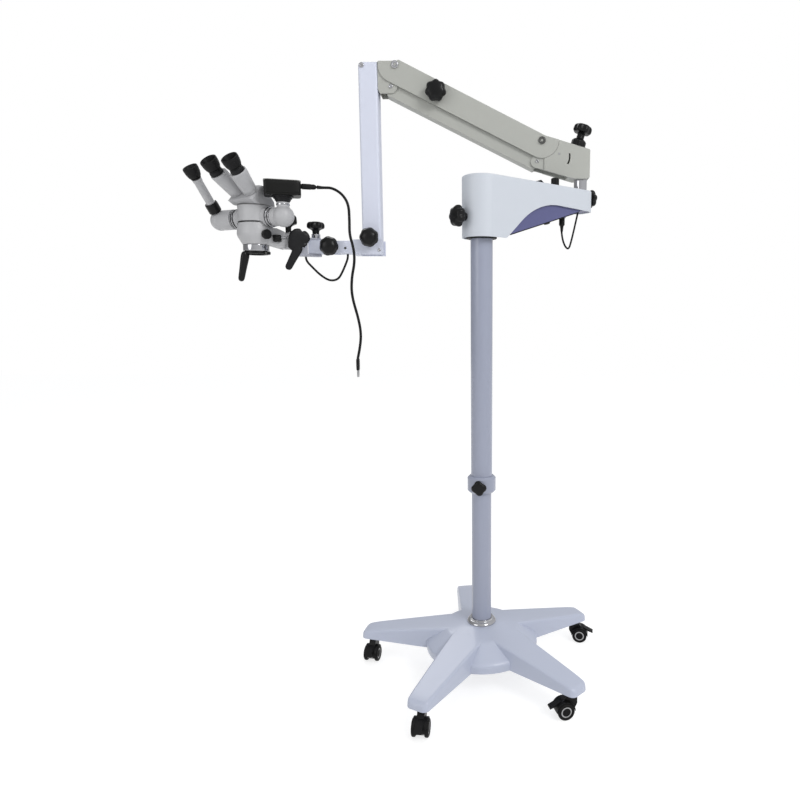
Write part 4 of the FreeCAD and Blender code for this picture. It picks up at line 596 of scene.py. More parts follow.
# a leg: at each station u half a section, foot to top, mirrored; the top follows the cone with
# a fall of tipFall * ((u - start) / rest)^2, and the end is drawn in by 1 - cos of a quarter turn
def legGrid(form, plain=30):
    turn = np.linspace(0, math.pi / 2, 7)[1:]
    end, reach, root = form["reach"] - form["endLong"], form["reach"], form["root"]
    stations = [*np.linspace(root, end + 2, plain), *(end + (reach - end) * np.sin(turn))]
    drawnIn = [*np.zeros(plain), *(1 - np.cos(turn))]
    rows = []
    for u, pull in zip(stations, drawnIn):
        half = form["tipHalf"] + form["taper"] * (reach - u) - form["endSides"] * pull
        past = max(u - form["tipStart"], 0) / (reach - form["tipStart"])
        sink = form["sink"] * max(1 - (u - root) / form["sinkLong"], 0) ** 2
        top = coneTop(u, form) - form["tipFall"] * past ** 2 - form["endTop"] * pull - sink
        foot = np.interp(u, [root, reach], [form["footRoot"], form["footTip"]])
        right = roundedProfile([(0, foot), (half + form["wallLean"], foot, form["footRound"]),
                                (half, top, form["edgeRound"]), (0, top)], steps=7)
        section = np.vstack([right, right[-2:0:-1] * (-1, 1)])
        share = (section[:, 1] - foot) / (top - foot)
        lift = coneTop(np.hypot(u, section[:, 0]), form) - coneTop(u, form)
        rows.append(np.stack([0 * share + u, section[:, 0], section[:, 1] + lift * share], axis=-1))
    rows.insert(0, np.broadcast_to(rows[0].mean(axis=0), rows[0].shape))
    rows.append(np.broadcast_to(rows[-1].mean(axis=0), rows[-1].shape))
    return np.stack(rows)


def buildStarBase(form):
    inner, shoulder, panel = form["bore"], form["shoulder"], form["panelStart"]
    reach, foot, gap = form["skirtReach"], form["skirtFoot"], form["hubGap"]
    profile = roundedProfile([
        (inner, form["hubTop"]), (form["flatRadius"], form["hubTop"], 6),
        (shoulder, coneTop(shoulder, form) - gap, 10), (panel, coneTop(panel, form) - gap, 7),
        (reach - 4, form["skirtTop"], 4), (reach, form["skirtTop"] - 5, 5), (reach - 1, foot, 1.5),
        (reach - 7, foot, 1), (reach - 9, foot + 4, 1), (inner, foot + 4)], steps=5)
    meshes = [meshFromGrid("hub", spunGrid(profile, 180) * mm, True)]
    for number in range(5):
        place = turned("Z", form["heading"] + 72 * number)
        meshes.append(meshFromGrid("leg", placed(legGrid(form), place)))
    whole = bmesh.new()
    for mesh in meshes:
        whole.from_mesh(mesh)
    mesh = bpy.data.meshes.new("star_base_dressed")
    whole.to_mesh(mesh)
    whole.free()
    evenShading(addPiece("star_base_dressed", mesh, slotOfNode["star_base"], "star_base",
                         ["star_base"]))


buildStarBase(starBase)
print("base is cast")


# Clamping knobs: a stem that flares into rounded lobes under a domed top

knobColumns = ("joint", "spin", "lobes", "radius", "reach", "height", "dome", "bite", "stem")
knobs = {
    "collar_knob": ("collar_knob_turn", 45, 4, 18.24, 5, 13, 2, 3.4, 8),
    "console_knob": ("console_knob_turn", 0, 7, 24, 12, 22, 5, 3.8, 9),
    "post_knob": ("post_knob_turn", 15, 7, 24, 4, 19, 5, 3.8, 9),
    "arm_knob": ("arm_knob_turn", 12, 7, 26, 8, 22, 7, 3.2, 10),
    "lower_arm_knob": ("elbow_knob_turn", 0, 7, 24, 14, 22, 13, 1.6, 10),
    "block_knob": ("wrist_knob_turn", 20, 7, 24, 14, 22, 13, 1.4, 10),
    "swivel_knob": ("swivel_knob_turn", 30, 7, 22.5, 11, 20, 3, 2.6, 8.5),
    "clamp_knob": ("scope_knob_turn", 15, 7, 23, 18, 26, 4, 4.0, 7),
}


# where a joint's axis starts, looking along it
def jointPlace(name, spin):
    joint = jointNamed[name]
    return looking(*(np.array(joint["pos_m"]) / mm), joint["axis"], spin)


def buildKnob(name, form):
    radius, reach, dome = form["radius"], form["reach"], form["dome"]
    top = reach + form["height"]
    profile = roundedProfile([(0, -3), (4, -3, 0.3), (4, 0, 0.3), (form["stem"], 0, 1),
                              (form["stem"], reach * 0.75, 3), (radius * 0.62, reach + 1, 4),
                              (radius - 1.5, reach + 3, 3), (radius, reach + 7, 3),
                              (radius - 0.8, top - dome - 2.5, 4),
                              (radius * 0.78, top - dome * 0.42, 5),
                              (radius * 0.4, top - dome * 0.08, 6), (0, top)], steps=6)

    # the lobes are cut by a rounded wave: its depth grows from the stem to the rim and
    # dies away over the dome
    def carve(angle, span, height):
        wave = (0.5 - 0.5 * np.cos(form["lobes"] * angle + math.pi)) ** 1.4
        rim = np.clip((span - form["stem"]) / (radius - form["stem"]), 0, 1) ** 1.5
        return wave * rim * form["bite"]

    place = jointPlace(form["joint"], form["spin"])
    spunPiece(name + "_dressed", profile, place, slotOfNode[name], name, (name,), carve,
              around=form["lobes"] * 20, crease=60)


for knobName, knobFacts in knobs.items():
    buildKnob(knobName, dict(zip(knobColumns, knobFacts)))
print("knobs are turned")


# The balance adjuster on the sloping top of the box

balanceKnob = {"washer": 27.5, "hub": 18.5, "neck": 9.5, "cap": 23.5, "lobes": 7, "bite": 2.6,
               "flutes": 14}


def buildBalanceKnob(values):
    place = jointPlace("balance_knob_turn", 10)
    hub, neck, cap = values["hub"], values["neck"], values["cap"]
    lower = roundedProfile([(0, 0.3), (values["washer"], 0.3, 0.3), (values["washer"], 1.8, 0.3),
                            (hub + 1, 2.0, 0.8), (hub, 3.5, 1), (hub, 16, 2), (hub - 4.5, 20.5, 2),
                            (neck, 22, 2), (neck, 37, 1), (0, 37)], steps=5)

    # flat flutes round the hub alone
    def flutes(angle, span, height):
        there = (height > 3.4) & (height < 17.5) & (span > hub - 4)
        return there * 0.9 * (0.5 - 0.5 * np.cos(values["flutes"] * angle)) ** 2

    spunPiece("balance_hub", lower, place, "black_plastic", "spring_knob", ("spring_knob",),
              flutes, around=168, crease=50)
    upper = roundedProfile([(0, 35.6), (neck + 1, 35.6, 1), (cap - 3, 37, 2), (cap, 41, 3),
                            (cap - 0.8, 51, 3), (cap * 0.8, 55, 4), (cap * 0.5, 56.8, 5),
                            (0, 58)], steps=6)

    def lobes(angle, span, height):
        rim = np.clip((span - neck) / (cap - neck), 0, 1) ** 1.5
        return values["bite"] * rim * (0.5 + 0.5 * np.cos(values["lobes"] * angle)) ** 1.4

    spunPiece("balance_cap", upper, place, "black_plastic", "spring_knob", (), lobes,
              around=140, crease=60)


buildBalanceKnob(balanceKnob)


# Eyepieces: tubes with a fluted ring, a chrome line at the foot and ribbed rubber cups

eyepieces = {"foot": 17, "top": 20.5, "long": 60, "out": 20, "ahead": 11, "throw": 14, "lean": 0.8,
             "cup": 20, "cupLong": 26, "cupFoot": 15, "bore": 12, "deep": 15}


def buildEyepiece(side, name, values):
    across, long = values["ahead"] * side, values["long"]
    drop = -math.sqrt(values["throw"] ** 2 - values["ahead"] ** 2)
    place = slopeFrame @ at(side * values["out"], 0, 0)
    # the tube leans from its foot to its top: both ends are circles and the rows between run
    # evenly from one centre and radius to the other
    row = np.array([0.3, 0.3, 1.2, 2.4, 3.2, 4, 12, 24, 36, 46, 50, 53, 56, 58.6, 60, 60, 60, 60])
    radius = np.interp(row, [0, long], [values["foot"], values["top"]])
    radius = radius - [0, 1.0, 0.2, 0, 0.7, 0, 0, 0, 0, 0, 0, 0, 0, 0.3, 1.4, 9, 16.5, 0]
    radius[[0, -1]] = 0
    lean = np.clip(row / long, 0, 1)[:, None, None] * values["lean"] * (across, drop, 0)
    lean[0] = 0
    grid = spunGrid(np.stack([radius, row], axis=-1), 96) + lean
    addPiece(f"tube_{name}", meshFromGrid(f"tube_{name}", placed(grid, place)), "head_paint",
             f"eye_tube_{name}", (f"eye_tube_{name}",), crease=40)
    eye = place @ at(across, drop, 0)
    # the dioptre ring under the cup, with fine flutes
    ring = roundedProfile([(0, 59), (14.5, 59, 0.5), (16, 60, 0.8), (16, 66, 0.8),
                           (14.5, 70.5, 0.5), (0, 70.5)])

    def flutes(turn, span, height):
        return (span > 15) * (height < 67) * 0.35 * (0.5 - 0.5 * np.cos(48 * turn))

    spunPiece(f"dioptre_ring_{name}", ring, eye, "black_metal", f"eye_tube_{name}", (), flutes,
              around=384, crease=50, slotName="black_plastic")
    buildCup(f"cup_{name}", eye @ at(0, 0, 71), f"eye_cup_{name}", values)


# a flared rubber cup: a waist, a swelling side with shallow folds, a rolled lip and a hollow
def buildCup(name, place, node, values):
    wide, long, foot = values["cup"], values["cupLong"], values["cupFoot"]
    bore, deep = values["bore"], values["deep"]
    folds = np.linspace(0.14, 0.84, 29)
    side = foot + (wide - foot) * np.sin(folds * math.pi / 2 / 0.84) ** 0.8
    side = side + 0.28 * np.cos(folds * 2 * math.pi * 9) * (folds < 0.6)
    profile = np.vstack([
        roundedProfile([(0, 0), (foot + 0.4, 0, 0.5), (foot + 0.6, long * 0.07, 0.6),
                        (foot - 0.4, long * 0.1)]),
        np.stack([side, folds * long], axis=-1),
        roundedProfile([(wide, long * 0.9), (wide - 0.2, long - 0.5, 0.8), (wide - 1.6, long, 1.2),
                        (wide - 3.2, long - 0.8, 1.2), (bore + 1.5, long - deep * 0.7, 2),
                        (bore, long - deep, 1.5), (0, long - deep)], steps=6)])
    spunPiece(name, profile, place, "black_rubber", node, (node,), around=96, crease=70)


buildEyepiece(1, "right", eyepieces)
buildEyepiece(-1, "left", eyepieces)
print("eyepieces are made")


# The side eyepiece: a black fluted sleeve, a plain tube and a small cup

sideTube = {"lean": 38, "out": 108, "tube": 10.3, "cup": 18, "cupLong": 29, "cupFoot": 11.6,
            "bore": 9, "deep": 13}


def buildSideTube(values):
    lean = math.radians(values["lean"])
    place = sideFrame @ looking(values["out"], 0, 0, (0, math.sin(lean), math.cos(lean)))
    sleeve = roundedProfile([(0, 24.8), (14.6, 24.8, 0.6), (15.4, 26, 0.8), (15.4, 46.5, 0.8),
                             (14.4, 48.5, 0.8), (10.8, 48.5, 0.3), (0, 48.5)])

    def flutes(turn, span, height):
        return (span > 15) * (np.abs(height - 36.5) < 9) * 0.3 * (0.5 - 0.5 * np.cos(60 * turn))

    spunPiece("side_sleeve", sleeve, place, "black_plastic", "assistant_tube", (), flutes,
              around=360, crease=50)
    tube = roundedProfile([(0, 47), (11.4, 47, 0.3), (11.4, 50.5, 0.4),
                           (values["tube"], 51.5, 0.4), (values["tube"], 104, 0.5),
                           (11.2, 105, 0.5), (11.2, 111.5, 0.6), (0, 112.5)])
    spunPiece("side_tube", tube, place, "head_paint", "assistant_tube", ("assistant_tube",))
    buildCup("side_cup", place @ at(0, 0, 112.8), "assistant_cup", values)


buildSideTube(sideTube)


# The clamping lever: a broad angular head over the joint, and a flat handle with a round end

lever = {"along": 111.3, "beside": -15.3, "level": 1060, "turn": 117.5, "layer": 22.3}


def buildLever(values):
    place = (carrierFrame @ at(values["along"], values["beside"], values["level"])
             @ turned("Y", values["turn"]) @ turned("X", 90))
    # the outline's two sides along the handle: how far each stands from its middle line
    s = np.array([-3, -2.7, -1.5, 1, 4, 7, 10, 13, 16, 18.5, 21, 27, 34, 38.5, 41, 43, 46, 54, 64,
                  76, 86, 91.5, 95.6, 98.4, 99.4, 99.6])
    left = np.array([0, -1.5, -3.5, -7.5, -12, -17, -22, -26.5, -30.5, -32, -32, -30, -27.5, -25.5,
                     -17, -11.5, -10.5, -9.8, -9.3, -8.8, -8.4, -8.3, -7.2, -4.6, -1.6, 0.2])
    right = np.array([1, 4.5, 8, 12.5, 17, 19, 18.8, 18, 17.2, 16.5, 15.9, 14.8, 13.6, 12.9, 12.6,
                      12.3, 11.9, 11, 10.1, 9.2, 8.6, 8.3, 7.2, 4.8, 1.9, 0.3])
    deep = np.interp(s, [-3, -1.5, 4, 34, 90, 96, 99.6], [1.5, 3.6, 4.6, 4.2, 3.6, 3.0, 0.5])
    middle = along(s, (left + right) / 2, values["layer"])
    limbPiece("lever_handle", middle, (right - left) / 2, deep, place, "black_metal", "tilt_lever",
              ("tilt_lever",), power=3.4, around=56, crease=60)
    hub = roundedProfile([(0, 0.3), (6.5, 0.3, 1), (7, 2, 1.5), (7, 17, 2.5), (6, 20.4, 2),
                          (0, 20.4)], steps=5)
    spunPiece("lever_hub", hub, place, "black_metal", "tilt_lever")


buildLever(lever)


# The objective: a fluted bright ring, a black ring below it and its hanging grip

objective = {"turn": 245, "long": 66, "outward": 12, "sideways": 9, "flutes": 16, "bite": 1.3,
             "ringLevel": 1007.5}


def buildObjective(values):
    bright = roundedProfile([(21.1, 1020), (21.1, 1014.6, 0.4), (28.5, 1014.6, 0.8),
                             (30.4, 1016, 0.8), (30.4, 1029.4, 0.8), (29.2, 1030.9, 0.8),
                             (21.5, 1030.9, 0.5), (21.1, 1020)])

    # broad shallow flutes with flat lands between
    def flutes(turn, span, height):
        wave = np.clip(np.cos(values["flutes"] * turn) * 1.6, -1, 1) * 0.5 + 0.5
        return (span > 29.5) * (np.abs(height - 1022.7) < 5.6) * values["bite"] * wave

    spunPiece("objective_fluted", bright, headFrame, "chrome", "objective_ring",
              ("objective_ring",), flutes, around=288, crease=40)
    place = headFrame @ at(0, 0, values["ringLevel"]) @ turned("Z", values["turn"])
    ring = roundedProfile([(22, 3), (22, 0.2, 0.4), (28, 0, 0.6), (28.9, 1, 0.6), (28.9, 5.8, 0.6),
                           (28, 6.6, 0.6), (22.2, 6.6, 0.4), (22, 3)])
    spunPiece("grip_ring", ring, place, "black_plastic", "grip_handle", ("grip_handle",))
    s = np.array([0, 0.02, 0.06, 0.14, 0.26, 0.4, 0.55, 0.7, 0.82, 0.9, 0.95, 0.98, 1.0])
    wide = np.array([6.0, 7.6, 9.2, 10.0, 9.7, 9.1, 8.5, 8.0, 7.7, 7.3, 6.2, 4.2, 0.0])
    centres = along(26.5 + values["outward"] * s, 5.5 - s * (values["long"] + 4.6),
                    values["sideways"] * s)
    limbPiece("grip_stalk", centres, wide, wide * 0.82, place @ turned("X", 90), "black_plastic",
              "grip_handle", power=2.3, crease=60)


buildObjective(objective)
print("tube, lever and objective are made")


# Casters: rounded shells, treaded wheels with bright hub rings, and a brass-coloured seat ring

casters = {"circle": 275, "trail": 17, "wheel": 19, "trails": (-10, 80, 260, 265, 195)}


def buildCaster(number, values):
    heading, wheel = math.radians(starBase["heading"] + 72 * number), values["wheel"]
    place = (at(values["circle"] * math.cos(heading), values["circle"] * math.sin(heading), 0)
             @ turned("Z", values["trails"][number]))
    axle = place @ at(values["trail"], 0, wheel) @ turned("X", 90)
    node = f"caster_wheels_{number + 1}"
    # one wheel from its axle to its hub's face, and the same mirrored
    outer = [(3.2, 9.1), (wheel - 2.4, 9.1), (wheel - 0.2, 11), (wheel, 13.8), (wheel - 0.2, 16.6),
             (wheel - 2.6, 18.4), (13.2, 18.4), (11.6, 16.2), (5.8, 16.2), (4.6, 17.4), (0, 17.2)]
    both = [(radius, -level) for radius, level in outer[::-1]] + outer
    spunPiece(f"wheels_{number + 1}_dressed", roundedProfile(both, 0.9), axle, "caster_tread",
              node, (node,), around=64)
    for side in (-1, 1):
        ring = roundedProfile([(9.4, 15.9 * side), (9.4, 16.9 * side, 0.3),
                               (11.9, 16.9 * side, 0.3), (11.9, 15.9 * side)], steps=3)
        spunPiece(f"hub_ring_{number + 1}_{'near' if side > 0 else 'far'}",
                  np.vstack([ring, ring[:1]]), axle, "steel", node, around=48)
    seat = roundedProfile([(4.3, 58.0), (10.5, 58.0, 0.2), (11.4, 58.4, 0.3), (11.4, 59.2, 0.2),
                           (4.3, 59.2, 0.1), (4.3, 58.0)], steps=3)
    spunPiece(f"seat_ring_{number + 1}", seat, place, "brass", f"caster_housing_{number + 1}",
              around=48, slotName="steel")


for casterNumber in range(5):
    buildCaster(casterNumber, casters)
print("casters roll")


# Small fittings: bolts, nuts, rings and trims

# a bolt's head: a raised rim round a shallow dish with a socket in its middle
def buildBolt(name, place, radius, tall, material, node, socket=0.34):
    profile = roundedProfile([(0, 0), (radius, 0, 0.1), (radius, tall * 0.7, 0.5),
                              (radius * 0.86, tall, 0.4), (radius * 0.66, tall, 0.3),
                              (radius * 0.58, tall * 0.72, 0.3),
                              (radius * socket, tall * 0.72, 0.2),
                              (radius * socket * 0.9, tall * 0.1, 0.2), (0, tall * 0.1)])
    return spunPiece(name, profile, place, material, node, around=48, crease=45, slotName="steel")


def nearFace(x, z, half):
    return looking(x, armDepth - half, z, (0, -1, 0))


def farFace(x, z, half):
    return looking(x, armDepth + half, z, (0, 1, 0))


frontPin = (-208.49, 1457.43)
boltPlaces = {
    "front_pin_cap": (nearFace(*frontPin, 27.6), 8.9, 2.6, "chrome", "upper_link"),
    "front_pin_cap_far": (farFace(*frontPin, 27.6), 8.9, 2.6, "chrome", "upper_link"),
    "rear_pin_cap": (nearFace(147.7, 1283.7, 27.6), 8.9, 2.4, "darkSteel", "upper_link"),
    "rear_pin_cap_far": (farFace(147.7, 1283.7, 27.6), 8.9, 2.4, "darkSteel", "upper_link"),
    "front_low_screw": (nearFace(frontPin[0] - 11.3, frontPin[1] - 47.9, 22.6), 5.2, 1.6,
                        "chrome", "knuckle"),
    "rear_low_screw": (nearFace(136.4, 1235.8, 22.6), 4.2, 1.4, "steel", "rear_box"),
    "box_screw": (nearFace(190.0, 1252.6, 25.9), 2.6, 0.8, "steel", "rear_box"),
    "drop_bolt": (nearFace(-289.5, 1457.0, 23.8), 6.2, 2.6, "chrome", "drop_arm"),
    "channel_bolt": (nearFace(-255.5, 1022.0, 27.5), 4.0, 1.6, "chrome", "lower_arm"),
    "channel_screw": (nearFace(-341.0, 1027.0, 24.9), 3.0, 1.0, "darkSteel", "lower_arm"),
}
for boltName, boltFacts in boltPlaces.items():
    buildBolt(boltName, *boltFacts)


# a ring round an axis
def buildRing(name, place, inner, outer, start, end, material, node, edge=0.5):
    profile = roundedProfile([(inner, (start + end) / 2), (inner, start, 0.1),
                              (outer, start, edge), (outer, end, edge), (inner, end, 0.1),
                              (inner, (start + end) / 2)])
    spunPiece(name, profile, place, material, node, around=96,
              slotName="steel" if material == "darkSteel" else material)


portFrame = headFrame @ at(0, 0, 1094) @ turned("Y", 90)
leftPort = headFrame @ at(0, 0, 1094) @ turned("Y", -90)
ringPlaces = [
    ("seam_ring", headFrame, 30, 39.4, 1082.5, 1084.1, "black_metal", "beam_splitter"),
    ("shoulder_line", headFrame, 30, 38.6, 1121.6, 1122.9, "darkSteel", "beam_splitter"),
    ("camera_ring_dark", portFrame, 15, 24.1, 48.3, 50.4, "black_metal", "camera_coupler"),
    ("camera_ring_bright", portFrame, 15, 23.9, 50.8, 53.2, "chrome", "camera_coupler"),
    ("camera_ring_groove", portFrame, 15, 20.8, 53.4, 56.8, "black_metal", "camera_coupler"),
    ("camera_ring_inner", portFrame, 15, 22.4, 57.2, 60.2, "chrome", "camera_coupler"),
    ("camera_barrel", portFrame, 12, 21.8, 61.2, 75.0, "head_paint", "camera_coupler"),
    ("side_ring_dark", leftPort, 15, 24.1, 48.3, 50.4, "black_metal", "assistant_elbow"),
    ("side_ring_bright", leftPort, 15, 23.9, 50.8, 53.2, "chrome", "assistant_elbow"),
    ("side_ring_groove", leftPort, 15, 21.6, 53.4, 58.6, "black_metal", "assistant_elbow"),
    ("side_barrel", leftPort, 12, 24.0, 60.8, 104.0, "head_paint", "assistant_elbow"),
    ("camera_neck_ring", cameraFrame, 12, 15.6, 1118.4, 1122.4, "chrome", "camera_coupler"),
    ("swivel_nut", armFrame @ at(-419.5, 0, 0), 5, 10.9, 1053.1, 1062.9, "chrome", "tilt_yoke"),
    ("clamp_nut", carrierFrame @ at(78, 0, 0), 4.3, 9.5, 1062.6, 1063.6, "steel", "scope_body"),
    ("clamp_sleeve", carrierFrame @ at(78, 0, 0), 4.2, 6.4, 1064.2, 1078.0, "steel", "clamp_knob"),
]
for ringFacts in ringPlaces:
    buildRing(*ringFacts)


# the black edge strip under the console's frame: its underside slopes up from the column
edgeStrip = {
    "stations": (33, 44, 54, 57, 120, 200, 268, 284), "thick": 1.2, "startInset": 3,
    "bends": (0, 56, 286), "levels": (1044.6, 1042.6, 1113.6),     # along the frame's underside
    "ends": (0, 312), "halfWidths": (38.7, 22.7),                  # its sides, less a rim
    "washer": (26.2, 38.4, 1042.9, 1045.3),                        # the part round the column
}


def buildEdgeStrip(values):
    s = np.array(values["stations"], dtype=float)
    half = np.interp(s, values["ends"], values["halfWidths"])
    half[0] -= values["startInset"]
    thick = np.full_like(s, values["thick"])
    thick[[0, -1]] = 0
    limbPiece("edge_strip", along(s, np.interp(s, values["bends"], values["levels"])), thick, half,
              consoleFrame @ turned("X", 90), "black_plastic", "console_chassis", power=8,
              around=32, crease=60)
    buildRing("edge_washer", consoleFrame, *values["washer"], "black_plastic", "console_chassis")


buildEdgeStrip(edgeStrip)
fuse = roundedProfile([(0, 1), (9, 1, 0.2), (9, -2, 0.8), (7.5, -5.5, 1.5), (3, -6.5, 1),
                       (0, -6.5)])
slopeTurn = math.degrees(math.atan2(71, 230))
spunPiece("fuse_cap", fuse, consoleFrame @ at(196, 0, 1085.2) @ turned("Y", -slopeTurn),
          "black_plastic", "console_chassis")
collar = roundedProfile([(25.2, 1035.5), (25.2, 1032, 0.2), (33, 1032, 0.8), (34.5, 1033.5, 0.5),
                         (34.5, 1035.8, 0.2), (25.2, 1035.5)])
spunPiece("column_gasket", collar, turned("Z", 0), "black_rubber", "console_chassis")


# the clamp of the grip's ring, and the small catch on the carrier's near face
def buildCatches():
    lug = headFrame @ at(0, 0, 1010.5) @ turned("Z", 8)
    x = np.array([25.5, 25.7, 27, 31, 34.5, 36.2, 36.8])
    limbPiece("ring_lug", along(x), [0, 5.4, 6.6, 7, 6.4, 4.6, 0],
              [0, 3.4, 4.0, 4.2, 4.0, 3.2, 0], lug, "black_plastic", "grip_handle", power=4,
              crease=50)
    buildBolt("ring_lug_screw", lug @ at(31, -6.6, 0.4) @ turned("X", 90), 2.8, 1.6, "darkSteel",
              "grip_handle")
    near = carrierFrame @ at(46.5, -19.4, 1046.5) @ turned("X", 90)
    rows = [(0, 0), (0.94, 0.2), (1, 1), (1, 4.5), (0.97, 7), (0.88, 8), (0, 8.3)]
    boxPiece("catch_block", (9.8, 8.4), rows, near, "black_plastic", "scope_body", power=8,
             around=48, crease=50)
    t = np.linspace(0, 1, 25)
    bent = along(6 + 33 * t, 1.5 + 9.5 * t ** 1.6, 5.2 + 1.5 * np.sin(t * math.pi))
    thick = 1.7 * np.sqrt(np.clip(np.minimum(t, 1 - t) * 24, 0, 1))
    limbPiece("catch_rod", bent, thick, thick, near, "chrome", "scope_body", power=2, around=20)


buildCatches()
print("fittings are in place")


# Camera: a case with raised panels, a lid line painted pale grey as a highlight along its top edge, and a ribbed
# adapter

cameraCase = {"long": 84, "deep": 56, "foot": 1140, "tall": 34, "plugLevel": 1164.5,
              "panelInset": (5, 4), "lidInset": 1.2}


def buildCameraCase(values):
    half = np.array([values["long"] / 2, values["deep"] / 2])
    tall = values["tall"]
    rows = [(0, 0), (0.96, 0), (0.99, 0.6), (1, 2), (1, tall - 4), (0.995, tall - 1.8),
            (0.97, tall - 0.5), (0.93, tall), (0, tall)]
    foot = cameraFrame @ at(0, 0, values["foot"])
    boxPiece("camera_case", half, rows, foot, "camera_case", "camera_body", ("camera_body",),
             crease=50)
    adapter = roundedProfile([(0, 1125.6), (15.6, 1125.6, 0.3), (15.6, 1127, 0.4),
                              (18.5, 1130, 0.4), (18.5, 1132, 0.3), (21.5, 1134, 0.4),
                              (21.5, 1136.4, 0.4), (25, 1137, 0.8), (25, 1141, 0.3), (0, 1141)])
    spunPiece("camera_adapter", adapter, cameraFrame, "black_metal", "camera_body",
              slotName="camera_case")
    panel = [(0, 0), (1, 0), (1, 1), (0.985, 1.55), (0.955, 1.8), (0.6, 1.9), (0, 1.9)]
    panelHalf = np.array([half[0], tall / 2]) - values["panelInset"]
    for side, name in ((-1, "front"), (1, "back")):
        place = foot @ at(0, side * (half[1] - 0.2), tall / 2) @ turned("X", -90 * side)
        boxPiece(f"camera_panel_{name}", panelHalf, panel, place, "camera_case", "camera_body",
                 crease=50)
    # the lid's edge is painted pale as a highlight along the top of the black case
    lid = [(0, -3.2), (1.035, -3.2), (1.035, 0.8), (1.01, 1.5), (0, 1.6)]
    boxPiece("camera_lid", half - values["lidInset"], lid, foot @ at(0, 0, tall - 1.6), "lidHighlight",
             "camera_body", crease=50, slotName="camera_case")


# the moulded plug at the camera: a stepped body, a neck and a small ball before the cord
def buildCameraPlug(values):
    out = cameraFrame @ at(values["long"] / 2, 0, values["plugLevel"]) @ turned("Y", 90)
    body = roundedProfile([(0, -1), (5.6, -1, 0.2), (5.6, 2.4, 0.3), (6.6, 3, 0.6), (6.6, 22, 0.8),
                           (6.0, 24, 0.8), (6.0, 31, 1.2), (4.4, 34.5, 1.2), (2.6, 36, 0.8),
                           (2.6, 36.8, 0.3), (4.0, 38, 0.8), (4.2, 39.6, 1.2), (0, 41)])

    def ribs(turn, span, height):
        there = (span > 6.2) & (height > 5) & (height < 21)
        return there * 0.35 * (0.5 - 0.5 * np.cos(20 * turn))

    spunPiece("camera_plug_dressed", body, out, "black_rubber", "camera_plug", ("camera_plug",),
              ribs, around=160, crease=55)


buildCameraCase(cameraCase)
buildCameraPlug(cameraCase)


# Cords: each line is a spline on the points of the solid's tube

cords = {
    "camera_lead": {
        "diameter": 0.0065, "length": 0.465, "start": 80.3, "ahead": (14, 0, -0.5),
        "route": [(-359, 112, 1164), (-335, 112, 1150), (-320, 112, 1126), (-319, 112, 1088),
                  (-320, 112, 1054), (-311, 112, 1024), (-309, 112, 990), (-318, 112, 950),
                  (-319, 112, 908), (-303, 112, 850), (-298, 112, 812), (-303, 112, 776),
                  (-308, 112, 755)],
    },
    "light_lead": {
        "diameter": 0.0055, "length": 0.176,
        "route": [(-447, armDepth, 1007.1), (-447, armDepth, 998), (-433, armDepth, 983),
                  (-411, armDepth, 961), (-388, armDepth, 947), (-366, armDepth, 951),
                  (-354, armDepth, 972), (-345, armDepth, 992), (-340, armDepth, 1005),
                  (-340, armDepth, 1014.1)],
    },
    "console_lead": {
        "diameter": 0.0046, "length": 0.147,
        "route": [(247, 0, 1064.7), (248, 0, 1052.7), (258, 0, 1031), (272, 0, 1023),
                  (281, 0, 1046), (293, 0, 1086), (302, 0, 1117.4)],
    },
}


def cordPiece(name, points, diameter):
    curve = bpy.data.curves.new(name + "_line", "CURVE")
    curve.dimensions = "3D"
    curve.bevel_depth = diameter / 2
    curve.bevel_resolution = 5
    curve.resolution_u = 14
    curve.use_fill_caps = True
    spline = curve.splines.new("NURBS")
    spline.points.add(len(points) - 1)
    flat = np.hstack([np.array(points), np.ones((len(points), 1))])
    spline.points.foreach_set("co", flat.ravel())
    spline.order_u = 3
    spline.use_endpoint_u = True
    piece = bpy.data.objects.new(name + "_dressed", curve)
    bpy.context.collection.objects.link(piece)
    curve.materials.append(finishes["lead_sheath"])
    return rideWithNode(piece, name)


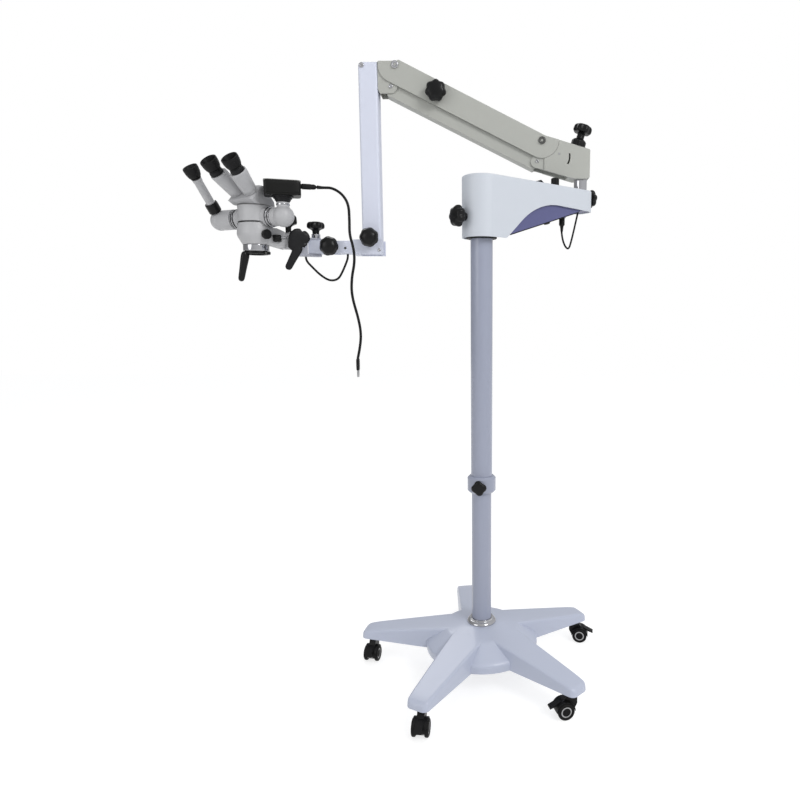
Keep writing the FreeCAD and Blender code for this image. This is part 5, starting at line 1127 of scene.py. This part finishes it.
def cordPoints(name):
    route = np.array(cords[name]["route"], dtype=float)
    if name == "camera_lead":
        start = Vector((cords[name]["start"] * mm, 0, cameraCase["plugLevel"] * mm))
        ahead = Vector([measure * mm for measure in cords[name]["ahead"]])
        out = np.array(cameraFrame @ start)
        return np.vstack([out, out + np.array(cameraFrame.to_3x3() @ ahead), route * mm])
    if name == "console_lead":
        return placed(route, consoleFrame)
    return route * mm


# a tapered sleeve with grooves, from a plug to its cord
def buildRelief(name, place, start, end, long, node):
    t = np.linspace(0, 1, 43)
    radius = start + (end - start) * t ** 0.8
    radius = radius - 0.28 * (np.sin(t * math.pi * 11) > 0.2) * (t > 0.12) * (t < 0.93)
    side = np.stack([radius, t * long], axis=-1)
    profile = np.vstack([[(0, 0)], side, [(end * 0.9, long + 0.25), (0, long + 0.25)]])
    return spunPiece(name, profile, place, "black_rubber", node, around=48, crease=60)


# a moulded grip and a metal shell, as rounded boxes along the cord's last direction
def buildLeadPlug():
    stand = at(*cords["camera_lead"]["route"][-1]) @ turned("Y", 90)
    s = np.array([0, 0.01, 0.05, 0.12, 0.3, 0.6, 0.85, 0.96, 0.99, 1.0]) * 30
    wide = [0, 4.6, 6.4, 7.2, 7.4, 7.4, 7.2, 6.9, 6.3, 0]
    thick = [0, 2.6, 3.4, 3.8, 3.9, 3.9, 3.8, 3.6, 3.2, 0]
    grip = limbPiece("lead_plug_grip", along(s), wide, thick, stand, "black_plastic",
                     "camera_lead", power=4, crease=60)
    s = np.array([0, 0.02, 0.3, 5, 12, 16.6, 16.88, 16.9]) + 29.9
    wide = [0, 5.7, 5.9, 5.9, 5.9, 5.9, 5.6, 0]
    thick = [0, 2.0, 2.2, 2.2, 2.2, 2.2, 2.0, 0]
    shell = limbPiece("lead_plug_shell", along(s), wide, thick, stand, "steel", "camera_lead",
                      power=9, crease=50)
    return [grip, shell]


plugPieces = buildLeadPlug()
cordObjects = {name: cordPiece(name, cordPoints(name), facts["diameter"])
               for name, facts in cords.items()}
for name, piece in cordObjects.items():
    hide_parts(name)
cameraOut, cameraNext = cordPoints("camera_lead")[:2]
relief = buildRelief("camera_relief", looking(*(cameraOut / mm), cameraNext - cameraOut), 4.6, 3.5,
                     12, "camera_lead")
print("cords hang")
